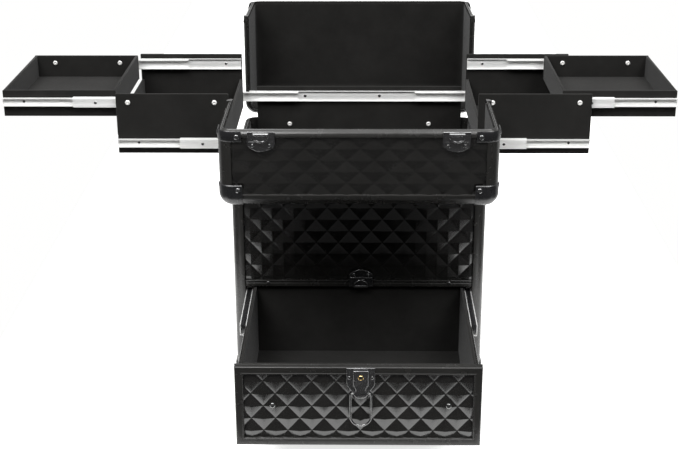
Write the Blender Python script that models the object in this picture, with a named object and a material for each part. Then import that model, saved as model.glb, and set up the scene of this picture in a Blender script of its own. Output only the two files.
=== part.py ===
"""A makeup train case, standing open: a case body with a deep bin and a drawer, two lids that open to the
front and the rear, and four trays that draw out sideways on ball-bearing slides.

Metres, +Z up, the case faces -Y. The origin is the centre of the base board's underside.
A moving piece is parented to an empty that stands on its joint's axis.
"""

import math

import bmesh
import bpy
from mathutils import Matrix, Vector

# ---- driving dimensions: the case body
WIDTH = 0.340
DEPTH = 0.261
BODY_HEIGHT = 0.326
BODY_WALL = 0.008
EDGE_RADIUS = 0.016
POST_WIDTH = 0.0165
RIM_HEIGHT = 0.010
RAIL_HEIGHT = 0.0095
BIN_DEPTH = 0.1545
PLINTH_HEIGHT = 0.051
BOARD = 0.005
GAP = 0.0003
CAP_REACH = 0.034
CAP_TOP = 0.042
CAP_BELOW = 0.0055
CAP_PROUD = 0.0025

# ---- the lids, which together make the top tier
LID_HEIGHT = 0.137
FRONT_LID_DEPTH = 0.098
REAR_LID_DEPTH = 0.147
REAR_LID_LEAN = 2.0
LID_WALL = 0.007
HINGE_OUT = 0.0015
HINGE_UP = 0.0015
LID_CLEARANCE = 0.0005
HINGE_RADIUS = 0.0012
HINGE_LENGTH = 0.290

# ---- the trays, heights above the body's rim
TRAY_WALL = 0.004
LOWER_TRAY_LENGTH = 0.148
LOWER_TRAY_INSET = 0.022
LOWER_TRAY_BOTTOM = 0.020
LOWER_TRAY_TOP = 0.101
LOWER_TRAY_END_TOP = 0.064
UPPER_TRAY_LENGTH = 0.150
UPPER_TRAY_BOTTOM = 0.067
UPPER_TRAY_TOP = 0.102
LEFT_LOWER_INNER_END = 0.171
RIGHT_LOWER_INNER_END = 0.156
LEFT_UPPER_INNER_END = 0.3205
RIGHT_UPPER_INNER_END = 0.267

# ---- the slides: u runs from the wall that holds the fixed channel to the piece that slides
SLIDE_SPACE = 0.0095
SLIDE_SHEET = 0.0008
CHANNEL_HEIGHT = 0.0156
MIDDLE_HEIGHT = 0.0132
INNER_HEIGHT = 0.0108
CHANNEL_FLANGE = 0.0068
MIDDLE_BACK = 0.0017
MIDDLE_FLANGE = 0.0066
INNER_FLANGE = 0.0061
LOWER_SLIDE_LEVEL = 0.035
UPPER_SLIDE_LEVEL = 0.0872
LOWER_CHANNEL_LENGTH = 0.325
LOWER_MIDDLE_LENGTH = 0.1463
LOWER_MIDDLE_END = 0.1525
UPPER_MIDDLE_LENGTH = 0.128
UPPER_MIDDLE_END = 0.1301
MIDDLE_LAG = 0.008

# ---- the boards that carry the lower slides
BOARD_WIDTH = 0.303
BOARD_THICKNESS = 0.0042
BOARD_ABOVE_RIM = 0.049
BOARD_BELOW_RIM = 0.060

# ---- the drawer
DRAWER_OUT = 0.234
DRAWER_FRONT_WIDTH = 0.299
DRAWER_FRONT_HEIGHT = 0.1077
DRAWER_FRONT_THICKNESS = 0.010
DRAWER_FRAME_BAR = 0.0105
DRAWER_BOX_WIDTH = 0.286
DRAWER_BOX_LENGTH = 0.2345
DRAWER_BOX_HEIGHT = 0.1025
DRAWER_WALL = 0.004
DRAWER_SLIDE_SPACE = 0.0110
DRAWER_SLIDE_LEVEL = 0.148
DRAWER_SLIDE_LENGTH = 0.215

# ---- latches, keepers and the handle
PLATE_WIDTH = 0.034
PLATE_HEIGHT = 0.0335
PLATE_THICKNESS = 0.0015
LOCK_WIDTH = 0.0192
LOCK_HEIGHT = 0.0215
LOCK_BELOW_TOP = 0.0010
LOCK_DEPTH = 0.0058
TAB_WIDTH = 0.0172
TAB_LENGTH = 0.0175
TAB_THICKNESS = 0.0025
LOOP_BELOW_LOCK = 0.0104
LOOP_WIDTH = 0.0275
LOOP_LENGTH = 0.0440
LOOP_WIRE = 0.0013
LID_LATCH_X = 0.117
DRAWER_LATCH_X = 0.003
KEEPER_WIDTH = 0.033
KEEPER_HEIGHT = 0.025
HOOK_WIDTH = 0.018
HOOK_DEPTH = 0.0064
HOOK_LENGTH = 0.0115
HANDLE_SPAN = 0.112
HANDLE_DROP = 0.040
HANDLE_RADIUS = 0.0052
HANDLE_LEVEL = 0.095

FRONT = -DEPTH / 2
REAR = DEPTH / 2
LID_STAND = HINGE_OUT + HINGE_UP
TOP = BODY_HEIGHT + LID_STAND
BACK_OF_LID = DEPTH / 2 + HINGE_OUT - HINGE_UP + LID_CLEARANCE
RAIL_TOP = BODY_HEIGHT - BIN_DEPTH
RAIL_BOTTOM = RAIL_TOP - RAIL_HEIGHT
DRAWER_FACE = FRONT - DRAWER_OUT
DRAWER_TOP = RAIL_BOTTOM - 0.0008
DRAWER_BOTTOM = DRAWER_TOP - DRAWER_FRONT_HEIGHT

COLOURS = {
    "black_aluminium": ((0.020, 0.020, 0.021), 0.35, 1.0),
    "diamond_panel": ((0.006, 0.006, 0.007), 0.12, 0.0),
    "lining": ((0.022, 0.021, 0.020), 0.85, 0.0),
    "zinc_slide": ((0.78, 0.78, 0.76), 0.32, 1.0),
    "black_hardware": ((0.012, 0.012, 0.013), 0.22, 1.0),
    "fibreboard": ((0.16, 0.075, 0.045), 0.80, 0.0),
    "handle_grip": ((0.015, 0.015, 0.015), 0.55, 0.0),
}


def clear_scene():
    """Removes whatever the scene holds."""
    for old in list(bpy.data.objects):
        bpy.data.objects.remove(old)


def new_collection(name):
    made = bpy.data.collections.new(name)
    bpy.context.scene.collection.children.link(made)
    return made


def new_material(name, colour, roughness, metallic):
    made = bpy.data.materials.new(name)
    made.use_nodes = True
    shader = made.node_tree.nodes["Principled BSDF"]
    shader.inputs["Base Color"].default_value = (*colour, 1)
    shader.inputs["Roughness"].default_value = roughness
    shader.inputs["Metallic"].default_value = metallic
    return made


clear_scene()
PARTS = new_collection("makeup_train_case")
CUTTERS = new_collection("cutters")
MATERIALS = {name: new_material(name, *look) for name, look in COLOURS.items()}
BODIES = {}


def add_body(name, place):
    """An empty on a joint's axis, which the pieces of one moving body are parented to."""
    empty = bpy.data.objects.new(f"{name}_axis", None)
    empty.location = place
    empty.empty_display_size = 0.02
    PARTS.objects.link(empty)
    BODIES[name] = empty


def add_piece(name, mesh, slot, body=None):
    """Makes a part from a bmesh in world coordinates, with its origin on its body's joint axis."""
    origin = Vector(BODIES[body].location) if body else Vector((0, 0, 0))
    bmesh.ops.translate(mesh, verts=mesh.verts, vec=-origin)
    data = bpy.data.meshes.new(name)
    mesh.to_mesh(data)
    mesh.free()
    data.materials.append(MATERIALS[slot])
    piece = bpy.data.objects.new(name, data)
    PARTS.objects.link(piece)
    if body:
        piece.parent = BODIES[body]
    return piece


def helper(mesh, name):
    """A hidden solid that a Boolean modifier uses."""
    data = bpy.data.meshes.new(name)
    mesh.to_mesh(data)
    mesh.free()
    made = bpy.data.objects.new(name, data)
    made.hide_render = True
    made.display_type = "WIRE"
    CUTTERS.objects.link(made)
    return made


def boolean(piece, mesh, operation):
    modifier = piece.modifiers.new(operation.lower(), "BOOLEAN")
    modifier.operation = operation
    tool = helper(mesh, f"{piece.name}_{operation.lower()}_{len(piece.modifiers)}")
    if piece.parent:
        tool.parent = piece.parent
        tool.location = -piece.parent.location
    modifier.object = tool


def cut(piece, low, high):
    boolean(piece, block(low, high), "DIFFERENCE")


def weld(piece, mesh):
    boolean(piece, mesh, "UNION")


def block(low, high):
    """A box between two corners."""
    low, high = Vector(low), Vector(high)
    mesh = bmesh.new()
    bmesh.ops.create_cube(mesh, size=1)
    size = Matrix.Diagonal((*(high - low), 1))
    bmesh.ops.transform(mesh, matrix=Matrix.Translation((low + high) / 2) @ size, verts=mesh.verts)
    return mesh


def rounded_block(low, high, radius, rounded, segments=4):
    """A box whose chosen edges are rounded: rounded(middle, direction) says which."""
    mesh = block(low, high)
    chosen = []
    for edge in mesh.edges:
        a, b = (v.co for v in edge.verts)
        if rounded((a + b) / 2, (b - a).normalized()):
            chosen.append(edge)
    bmesh.ops.bevel(mesh, geom=chosen, offset=radius, segments=segments, profile=0.5, affect="EDGES")
    return mesh


def rod(start, end, radius, sides=12):
    """A round bar between two points."""
    start, end = Vector(start), Vector(end)
    mesh = bmesh.new()
    along = end - start
    turn = along.to_track_quat("Z", "Y").to_matrix().to_4x4()
    bmesh.ops.create_cone(
        mesh,
        cap_ends=True,
        segments=sides,
        radius1=radius,
        radius2=radius,
        depth=along.length,
        matrix=Matrix.Translation((start + end) / 2) @ turn,
    )
    return mesh


def bent_bar(name, points, radius, slot, body, closed=False):
    """A round bar that follows points: a closed wire loop, or a bail with filled ends."""
    origin = Vector(BODIES[body].location)
    curve = bpy.data.curves.new(name, "CURVE")
    curve.dimensions = "3D"
    curve.bevel_depth = radius
    curve.bevel_resolution = 2
    curve.use_fill_caps = True
    spline = curve.splines.new("POLY")
    spline.points.add(len(points) - 1)
    for knot, point in zip(spline.points, points):
        knot.co = (*(Vector(point) - origin), 1)
    spline.use_cyclic_u = closed
    curve.materials.append(MATERIALS[slot])
    piece = bpy.data.objects.new(name, curve)
    PARTS.objects.link(piece)
    piece.parent = BODIES[body]
    return piece


def outline_along_x(name, outline, x_low, x_high, slot, body=None):
    """A flat outline, given as (y, z) points, extruded along X."""
    origin = Vector(BODIES[body].location) if body else Vector((0, 0, 0))
    curve = bpy.data.curves.new(name, "CURVE")
    curve.dimensions = "2D"
    curve.fill_mode = "BOTH"
    curve.extrude = (x_high - x_low) / 2
    spline = curve.splines.new("POLY")
    spline.points.add(len(outline) - 1)
    for point, (y, z) in zip(spline.points, outline):
        point.co = (y - origin.y, z - origin.z, 0, 1)
    spline.use_cyclic_u = True
    curve.materials.append(MATERIALS[slot])
    piece = bpy.data.objects.new(name, curve)
    piece.location = ((x_low + x_high) / 2 - origin.x, 0, 0)
    # the outline's own X and Y become Y and Z
    piece.rotation_euler = Matrix(((0, 0, 1), (1, 0, 0), (0, 1, 0))).to_euler()
    PARTS.objects.link(piece)
    if body:
        piece.parent = BODIES[body]
    return piece


# ---- the case body


def body_frame():
    """Corner posts, rim, front rail and plinth: the aluminium frame, which the panels fill."""
    half = WIDTH / 2
    mesh = rounded_block(
        (-half, FRONT, 0),
        (half, REAR, BODY_HEIGHT),
        EDGE_RADIUS,
        lambda middle, along: abs(along.z) > 0.9,
        segments=5,
    )
    frame = add_piece("body_frame", mesh, "black_aluminium")
    for x in (-1, 1):
        for y in (-1, 1):
            weld(frame, corner_cap(x, y))
    inner_x, inner_y = half - BODY_WALL, REAR - BODY_WALL
    window_x, window_y = half - POST_WIDTH, REAR - POST_WIDTH
    bottom, top = RIM_HEIGHT, BODY_HEIGHT - RIM_HEIGHT
    beyond = 0.02
    # a window stops just outside the frame, so that a corner cap runs on over the panel
    side, back = half + GAP, REAR + GAP
    cut(frame, (-inner_x, -inner_y, -beyond), (inner_x, inner_y, BODY_HEIGHT + beyond))
    cut(frame, (-side, -window_y, bottom), (-inner_x + beyond, window_y, top))
    cut(frame, (inner_x - beyond, -window_y, bottom), (side, window_y, top))
    cut(frame, (-window_x, inner_y - beyond, bottom), (window_x, back, top))
    cut(frame, (-window_x, FRONT - beyond, RAIL_TOP), (window_x, -inner_y + beyond, top))
    cut(frame, (-window_x, FRONT - beyond, PLINTH_HEIGHT), (window_x, -inner_y + beyond, RAIL_BOTTOM))


def corner_cap(x, y):
    """The cap round a bottom corner, which the case stands on. The frame's hollow is cut from it later."""
    outer_x, outer_y = x * (WIDTH / 2 + CAP_PROUD), y * (REAR + CAP_PROUD)
    xs = sorted((outer_x, outer_x - x * CAP_REACH))
    ys = sorted((outer_y, outer_y - y * CAP_REACH))

    def corner(middle, along):
        return abs(along.z) > 0.9 and abs(middle.x - outer_x) + abs(middle.y - outer_y) < 1e-5

    low, high = (xs[0], ys[0], -CAP_BELOW), (xs[1], ys[1], CAP_TOP)
    mesh = rounded_block(low, high, EDGE_RADIUS + CAP_PROUD, corner, segments=5)
    rim = [e for e in mesh.edges if max(v.co.z for v in e.verts) < 0]
    rim = [e for e in rim if not inner_rim(e, xs, ys, x, y)]
    bmesh.ops.bevel(mesh, geom=rim, offset=0.004, segments=2, profile=0.5, affect="EDGES")
    return mesh


def inner_rim(edge, xs, ys, x, y):
    """Whether a bottom edge of a corner cap is one of the two that face the case's middle."""
    inner_x, inner_y = (xs[0] if x > 0 else xs[1]), (ys[0] if y > 0 else ys[1])
    on_x = all(abs(v.co.x - inner_x) < 1e-6 for v in edge.verts)
    on_y = all(abs(v.co.y - inner_y) < 1e-6 for v in edge.verts)
    return on_x or on_y


def body_panels():
    """The panels that fill the frame's windows, set back from its outer face."""
    half = WIDTH / 2
    set_back = 0.0006
    window_x = half - POST_WIDTH - GAP
    window_y = REAR - POST_WIDTH - GAP
    bottom, top = RIM_HEIGHT + GAP, BODY_HEIGHT - RIM_HEIGHT - GAP
    for side, name in ((-1, "left_side_panel"), (1, "right_side_panel")):
        faces = sorted((side * (half - set_back), side * (half - BODY_WALL)))
        add_piece(name, block((faces[0], -window_y, bottom), (faces[1], window_y, top)), "diamond_panel")
    rear_faces = REAR - BODY_WALL, REAR - set_back
    add_piece(
        "back_panel",
        block((-window_x, rear_faces[0], bottom), (window_x, rear_faces[1], top)),
        "diamond_panel",
    )
    add_piece(
        "upper_front_panel",
        block((-window_x, FRONT + set_back, RAIL_TOP + GAP), (window_x, FRONT + BODY_WALL, top)),
        "diamond_panel",
    )


def body_boards():
    """The bin's floor, and the base board."""
    inner_x, inner_y = WIDTH / 2 - BODY_WALL - GAP, REAR - BODY_WALL - GAP
    floor_top = RAIL_TOP - 0.001
    add_piece(
        "bin_floor",
        block((-inner_x, -inner_y, floor_top - BOARD), (inner_x, inner_y, floor_top)),
        "lining",
    )
    add_piece("base_board", block((-inner_x, -inner_y, 0), (inner_x, inner_y, BOARD)), "fibreboard")


def slide_boards():
    """The two boards that stand up inside the rim and carry the lower trays' channels."""
    low, high = BODY_HEIGHT - BOARD_BELOW_RIM, BODY_HEIGHT + BOARD_ABOVE_RIM
    for facing, name in ((-1, "front_board"), (1, "rear_board")):
        outer = facing * (REAR - BODY_WALL - GAP)
        inner = outer - facing * BOARD_THICKNESS
        y = sorted((outer, inner))
        add_piece(
            name,
            block((-BOARD_WIDTH / 2, y[0], low), (BOARD_WIDTH / 2, y[1], high)),
            "lining",
        )


# ---- slides


def slide_outline(kind, wall, facing, level):
    """The (y, z) outline of one slide member. The wall that holds the channel is at y = wall, and facing is
    -1 where that wall is at the front and 1 where it is at the rear, so that u always runs inwards."""
    sheet = SLIDE_SHEET
    shapes = {
        "channel": (GAP, GAP + CHANNEL_FLANGE, CHANNEL_HEIGHT / 2),
        "middle": (MIDDLE_BACK, MIDDLE_BACK + MIDDLE_FLANGE, MIDDLE_HEIGHT / 2),
        "inner": (SLIDE_SPACE - GAP, SLIDE_SPACE - GAP - INNER_FLANGE, INNER_HEIGHT / 2),
    }
    web, edge, half = shapes[kind]
    inside = web + math.copysign(sheet, edge - web)
    points = [
        (web, -half),
        (edge, -half),
        (edge, -half + sheet),
        (inside, -half + sheet),
        (inside, half - sheet),
        (edge, half - sheet),
        (edge, half),
        (web, half),
    ]
    return [(wall - facing * u, level + v) for u, v in points]


def lower_slides():
    """Two fixed channels on the boards, four middle members and four inner members on the lower trays."""
    level = BODY_HEIGHT + LOWER_SLIDE_LEVEL
    wall = REAR - BODY_WALL - GAP - BOARD_THICKNESS
    for facing, place in ((-1, "front"), (1, "rear")):
        outline = slide_outline("channel", facing * wall, facing, level)
        reach = LOWER_CHANNEL_LENGTH / 2
        outline_along_x(f"lower_channel_{place}", outline, -reach, reach, "zinc_slide")
        for side, hand in ((-1, "left"), (1, "right")):
            inner_end = lower_inner_end(hand)
            moved_out = inner_end - 0.004
            end = LOWER_MIDDLE_END + moved_out / 2
            if (hand, place) == ("right", "front"):
                end -= MIDDLE_LAG
            x = sorted((side * end, side * (end - LOWER_MIDDLE_LENGTH)))
            outline = slide_outline("middle", facing * wall, facing, level)
            name = f"lower_middle_{hand}_{place}"
            outline_along_x(name, outline, *x, "zinc_slide", f"lower_runner_{hand}")
            x = sorted((side * inner_end, side * (inner_end + LOWER_TRAY_LENGTH)))
            outline = slide_outline("inner", facing * wall, facing, level)
            name = f"lower_inner_{hand}_{place}"
            outline_along_x(name, outline, *x, "zinc_slide", f"lower_tray_{hand}")


def upper_slides():
    """The same three members between each lower tray's walls and its upper tray."""
    level = BODY_HEIGHT + UPPER_SLIDE_LEVEL
    wall = REAR - LOWER_TRAY_INSET - TRAY_WALL
    for facing, place in ((-1, "front"), (1, "rear")):
        for side, hand in ((-1, "left"), (1, "right")):
            lower_end = lower_inner_end(hand)
            x = sorted((side * (lower_end + 0.001), side * (lower_end + LOWER_TRAY_LENGTH - 0.001)))
            outline = slide_outline("channel", facing * wall, facing, level)
            name = f"upper_channel_{hand}_{place}"
            outline_along_x(name, outline, *x, "zinc_slide", f"lower_tray_{hand}")
            upper_end = upper_inner_end(hand)
            moved_out = upper_end - lower_end + 0.0015
            end = lower_end + UPPER_MIDDLE_END + moved_out / 2
            if (hand, place) == ("right", "front"):
                end -= MIDDLE_LAG
            x = sorted((side * end, side * (end - UPPER_MIDDLE_LENGTH)))
            outline = slide_outline("middle", facing * wall, facing, level)
            name = f"upper_middle_{hand}_{place}"
            outline_along_x(name, outline, *x, "zinc_slide", f"upper_runner_{hand}")
            x = sorted((side * upper_end, side * (upper_end + UPPER_TRAY_LENGTH)))
            outline = slide_outline("inner", facing * wall, facing, level)
            name = f"upper_inner_{hand}_{place}"
            outline_along_x(name, outline, *x, "zinc_slide", f"upper_tray_{hand}")


# ---- trays


def lower_inner_end(hand):
    return LEFT_LOWER_INNER_END if hand == "left" else RIGHT_LOWER_INNER_END


def upper_inner_end(hand):
    return LEFT_UPPER_INNER_END if hand == "left" else RIGHT_UPPER_INNER_END


def tray(name, body, x, half_depth, bottom, top):
    """An open box of thin board."""
    piece = add_piece(name, block((x[0], -half_depth, bottom), (x[1], half_depth, top)), "lining", body)
    inset = TRAY_WALL
    cut(
        piece,
        (x[0] + inset, -half_depth + inset, bottom + inset),
        (x[1] - inset, half_depth - inset, top + 0.02),
    )
    return piece


def trays():
    """Two lower trays, whose end walls are low, and two shallow upper trays that draw out over them."""
    for side, hand in ((-1, "left"), (1, "right")):
        inner_end = lower_inner_end(hand)
        x = sorted((side * inner_end, side * (inner_end + LOWER_TRAY_LENGTH)))
        half_depth = REAR - LOWER_TRAY_INSET
        bottom, top = BODY_HEIGHT + LOWER_TRAY_BOTTOM, BODY_HEIGHT + LOWER_TRAY_TOP
        name = f"lower_tray_{hand}"
        lower = tray(name, name, x, half_depth, bottom, top)
        between = half_depth - TRAY_WALL
        cut(
            lower,
            (x[0] - 0.01, -between, BODY_HEIGHT + LOWER_TRAY_END_TOP),
            (x[1] + 0.01, between, top + 0.02),
        )
        inner_end = upper_inner_end(hand)
        x = sorted((side * inner_end, side * (inner_end + UPPER_TRAY_LENGTH)))
        half_depth = between - SLIDE_SPACE
        bottom, top = BODY_HEIGHT + UPPER_TRAY_BOTTOM, BODY_HEIGHT + UPPER_TRAY_TOP
        name = f"upper_tray_{hand}"
        tray(name, name, x, half_depth, bottom, top)


# ---- lids


def lid(facing, name, depth):
    """One half of the top tier, standing open: a box without a top or the side next to the body.
    Its edges are rounded as they are on the closed case."""
    half, wall, beyond = WIDTH / 2, LID_WALL, 0.03
    near, far = facing * BACK_OF_LID, facing * (BACK_OF_LID + LID_HEIGHT)
    y = sorted((near, far))
    shell = lid_block((-half, y[0], TOP), (half, y[1], TOP + depth), near, EDGE_RADIUS, 5)
    piece = add_piece(name, shell, "diamond_panel", name.replace("_shell", ""))
    near, far = near - facing * beyond, far - facing * wall
    y = sorted((near, far))
    low, high = (wall - half, y[0], TOP + wall), (half - wall, y[1], TOP + depth + beyond)
    boolean(piece, lid_block(low, high, near, EDGE_RADIUS - wall, 3), "DIFFERENCE")


def lid_block(low, high, near, radius, segments):
    """A box whose edges are rounded, but for those of its top and of the side at y = near."""

    def outer_edge(middle, along):
        return abs(middle.z - high[2]) > 1e-6 and abs(middle.y - near) > 1e-6

    return rounded_block(low, high, radius, outer_edge, segments)


def lid_hinges():
    """The barrels of the two long hinges along the body's front and rear top edges."""
    for facing, name in ((-1, "front_hinge_barrel"), (1, "rear_hinge_barrel")):
        y, z = facing * (REAR + HINGE_OUT), BODY_HEIGHT + HINGE_UP
        mesh = rod((-HINGE_LENGTH / 2, y, z), (HINGE_LENGTH / 2, y, z), HINGE_RADIUS, 10)
        add_piece(name, mesh, "black_aluminium")


# ---- the drawer


def drawer():
    """A lined box behind a framed front panel."""
    half = DRAWER_FRONT_WIDTH / 2
    back = DRAWER_FACE + DRAWER_FRONT_THICKNESS
    frame = add_piece(
        "drawer_front_frame",
        block((-half, DRAWER_FACE, DRAWER_BOTTOM), (half, back, DRAWER_TOP)),
        "black_aluminium",
        "drawer",
    )
    bar = DRAWER_FRAME_BAR
    cut(
        frame,
        (-half + bar, DRAWER_FACE - 0.01, DRAWER_BOTTOM + bar),
        (half - bar, back + 0.01, DRAWER_TOP - bar),
    )
    edge = bar + GAP
    add_piece(
        "drawer_front_panel",
        block(
            (-half + edge, DRAWER_FACE + 0.0006, DRAWER_BOTTOM + edge),
            (half - edge, back - 0.002, DRAWER_TOP - edge),
        ),
        "diamond_panel",
        "drawer",
    )
    half = DRAWER_BOX_WIDTH / 2
    start = back + GAP
    end = start + DRAWER_BOX_LENGTH
    bottom = DRAWER_BOTTOM + 0.004
    top = bottom + DRAWER_BOX_HEIGHT
    box = add_piece("drawer_box", block((-half, start, bottom), (half, end, top)), "lining", "drawer")
    wall = DRAWER_WALL
    cut(box, (-half + wall, start + wall, bottom + wall), (half - wall, end - wall, top + 0.02))


def drawer_slides():
    """On each side a fixed channel with its packing strip, and a middle member half way out."""
    level = DRAWER_SLIDE_LEVEL
    box_side = DRAWER_BOX_WIDTH / 2
    wall = box_side + DRAWER_SLIDE_SPACE
    strip = WIDTH / 2 - BODY_WALL - GAP
    start = FRONT + DRAWER_FRONT_THICKNESS + 0.0015
    end = start + DRAWER_SLIDE_LENGTH
    half, sheet = 0.0087, 0.0012
    for side, hand in ((-1, "left"), (1, "right")):
        x = sorted((side * strip, side * (wall - 0.0075)))
        channel = add_piece(
            f"drawer_channel_{hand}",
            block((x[0], start, level - half), (x[1], end, level + half)),
            "zinc_slide",
        )
        x = sorted((side * (wall - sheet), side * (wall - 0.02)))
        cut(channel, (x[0], start - 0.01, level - half + sheet), (x[1], end + 0.01, level + half - sheet))
        x = sorted((side * (wall - sheet - 0.0005), side * (wall - 0.0085)))
        inner_half = half - sheet - 0.0004
        moved = DRAWER_OUT / 2
        middle = add_piece(
            f"drawer_middle_{hand}",
            block((x[0], start - moved, level - inner_half), (x[1], end - moved, level + inner_half)),
            "zinc_slide",
            "drawer_runner",
        )
        x = sorted((side * (wall - 2 * sheet - 0.0005), side * (wall - 0.02)))
        cut(
            middle,
            (x[0], start - moved - 0.01, level - inner_half + sheet),
            (x[1], end - moved + 0.01, level + inner_half - sheet),
        )
        rail_half = inner_half - sheet - 0.0004
        rail = sorted((side * (box_side - 0.001), side * (wall - 2 * sheet - 0.0012)))
        weld(
            bpy.data.objects["drawer_box"],
            block(
                (rail[0], DRAWER_FACE + 0.0115, level - rail_half),
                (rail[1], DRAWER_FACE + 0.0115 + 0.205, level + rail_half),
            ),
        )


# ---- latches, keepers and the handle


def arc(centre, radius, start, end, steps):
    """Points of an arc in the X-Z plane, angles in degrees from +X."""
    made = []
    for step in range(steps + 1):
        angle = math.radians(start + (end - start) * step / steps)
        made.append((centre[0] + radius * math.cos(angle), centre[1] + radius * math.sin(angle)))
    return made


def draw_latch(prefix, x, face, facing, top, plate_body):
    """A draw latch: a base plate, the lever with its lock case and tab, and the wire loop that it carries."""
    stand = face + facing * GAP
    names = f"{prefix}_plate", f"{prefix}_lever", f"{prefix}_loop"
    plate_face = stand + facing * PLATE_THICKNESS
    y = sorted((stand, plate_face))
    bottom = top - PLATE_HEIGHT
    half = PLATE_WIDTH / 2
    mesh = rounded_block(
        (x - half, y[0], bottom),
        (x + half, y[1], top),
        0.011,
        lambda middle, along: abs(along.y) > 0.9 and middle.z < bottom + 0.001,
        segments=3,
    )
    add_piece(names[0], mesh, "black_hardware", plate_body)

    back, lock_top = lever_axis(face, facing, top)
    front = back + facing * LOCK_DEPTH
    y = sorted((back, front))
    half = LOCK_WIDTH / 2
    lock_bottom = lock_top - LOCK_HEIGHT
    lock = block((x - half, y[0], lock_bottom), (x + half, y[1], lock_top))
    lever = add_piece(names[1], lock, "black_hardware", f"{prefix}_lever")
    y = sorted((front - facing * 0.0004, front - facing * TAB_THICKNESS))
    half = TAB_WIDTH / 2
    tip = lock_bottom - TAB_LENGTH
    tab = rounded_block(
        (x - half, y[0], tip),
        (x + half, y[1], lock_bottom + 0.003),
        0.0075,
        lambda middle, along: abs(along.y) > 0.9 and middle.z < tip + 0.001,
        segments=4,
    )
    weld(lever, tab)

    wire_y, wire_z = loop_axis(face, facing, top)
    half = LOOP_WIDTH / 2 - LOOP_WIRE
    low = wire_z - LOOP_LENGTH + half
    round_end = arc((x, low), half, 180, 360, 12)
    ring = [(x, wire_z), (x - half, wire_z), *round_end, (x + half, wire_z)]
    points = [(px, wire_y, pz) for px, pz in ring]
    bent_bar(names[2], points, LOOP_WIRE, "black_hardware", f"{prefix}_loop", closed=True)


def lever_axis(face, facing, top):
    """(y, z) of the axis that a latch's lever turns on: its upper edge next to the plate."""
    return face + facing * (2 * GAP + PLATE_THICKNESS), top - LOCK_BELOW_TOP


def loop_axis(face, facing, top):
    """(y, z) of the axis in the lever's tab that the wire loop turns on."""
    back, lock_top = lever_axis(face, facing, top)
    return back + facing * (GAP + LOOP_WIRE), lock_top - LOCK_HEIGHT - LOOP_BELOW_LOCK


def keeper(name, x, face, facing, edge, upward, body):
    """A plate with a hook, which starts at the edge that its latch faces. upward is 1 if that is its top."""
    stand = face + facing * GAP
    plate_face = stand + facing * PLATE_THICKNESS
    half = KEEPER_WIDTH / 2
    z = sorted((edge, edge - upward * KEEPER_HEIGHT))
    y = sorted((stand, plate_face))
    far = edge - upward * KEEPER_HEIGHT
    mesh = rounded_block(
        (x - half, y[0], z[0]),
        (x + half, y[1], z[1]),
        0.009,
        lambda middle, along: abs(along.y) > 0.9 and abs(middle.z - far) < 0.001,
        segments=3,
    )
    piece = add_piece(name, mesh, "black_hardware", body)
    # the hook: a tongue that stands out of the plate, and its lip, which points away from the edge
    foot, lip = plate_face + facing * HOOK_DEPTH, plate_face + facing * (HOOK_DEPTH - 0.0018)
    half = HOOK_WIDTH / 2
    start = edge - upward * 0.0006
    y = sorted((stand + facing * 0.0005, foot))
    z = sorted((start, start - upward * 0.0025))
    weld(piece, block((x - half, y[0], z[0]), (x + half, y[1], z[1])))
    y = sorted((lip, foot + facing * 0.0004))
    z = sorted((start - upward * 0.0004, start - upward * HOOK_LENGTH))
    weld(piece, block((x - half + 0.0004, y[0], z[0]), (x + half - 0.0004, y[1], z[1])))


def carry_handle():
    """The bail on the rear lid, and the base plate whose two lugs it turns in."""
    face = BACK_OF_LID + LID_HEIGHT
    z = TOP + HANDLE_LEVEL
    half = HANDLE_SPAN / 2
    base_low, base_high = face + GAP, face + GAP + 0.002
    lug = half + HANDLE_RADIUS + 0.0006
    base = add_piece(
        "carry_handle_base",
        block((-lug - 0.008, base_low, z - 0.010), (lug + 0.008, base_high, z + 0.010)),
        "black_hardware",
        "rear_lid",
    )
    pivot_y = handle_axis()[0]
    for side in (-1, 1):
        x = sorted((side * lug, side * (lug + 0.005)))
        weld(base, block((x[0], base_low + 0.0005, z - 0.007), (x[1], pivot_y + 0.006, z + 0.007)))
    bend = 0.014
    low = z - HANDLE_DROP
    left = arc((-half + bend, low + bend), bend, 180, 270, 5)
    right = arc((half - bend, low + bend), bend, 270, 360, 5)
    outline = [(-half, z + 0.004), (-half, z - 0.008), *left, *right, (half, z - 0.008), (half, z + 0.004)]
    points = [(x, pivot_y, level) for x, level in outline]
    bent_bar("carry_handle", points, HANDLE_RADIUS, "handle_grip", "carry_handle")


def handle_axis():
    """(y, z) of the carry handle's axis."""
    return BACK_OF_LID + LID_HEIGHT + GAP + 0.002 + HANDLE_RADIUS + 0.0018, TOP + HANDLE_LEVEL


# ---- bodies: an empty on each joint's axis


def latch_bodies(prefix, x, face, facing, top):
    add_body(f"{prefix}_lever", (x, *lever_axis(face, facing, top)))
    add_body(f"{prefix}_loop", (x, *loop_axis(face, facing, top)))


LID_LATCH_FACE = BACK_OF_LID + LID_HEIGHT
LID_LATCH_TOP = TOP + REAR_LID_DEPTH - 0.0015
DRAWER_LATCH_TOP = DRAWER_TOP - 0.0005


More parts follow.
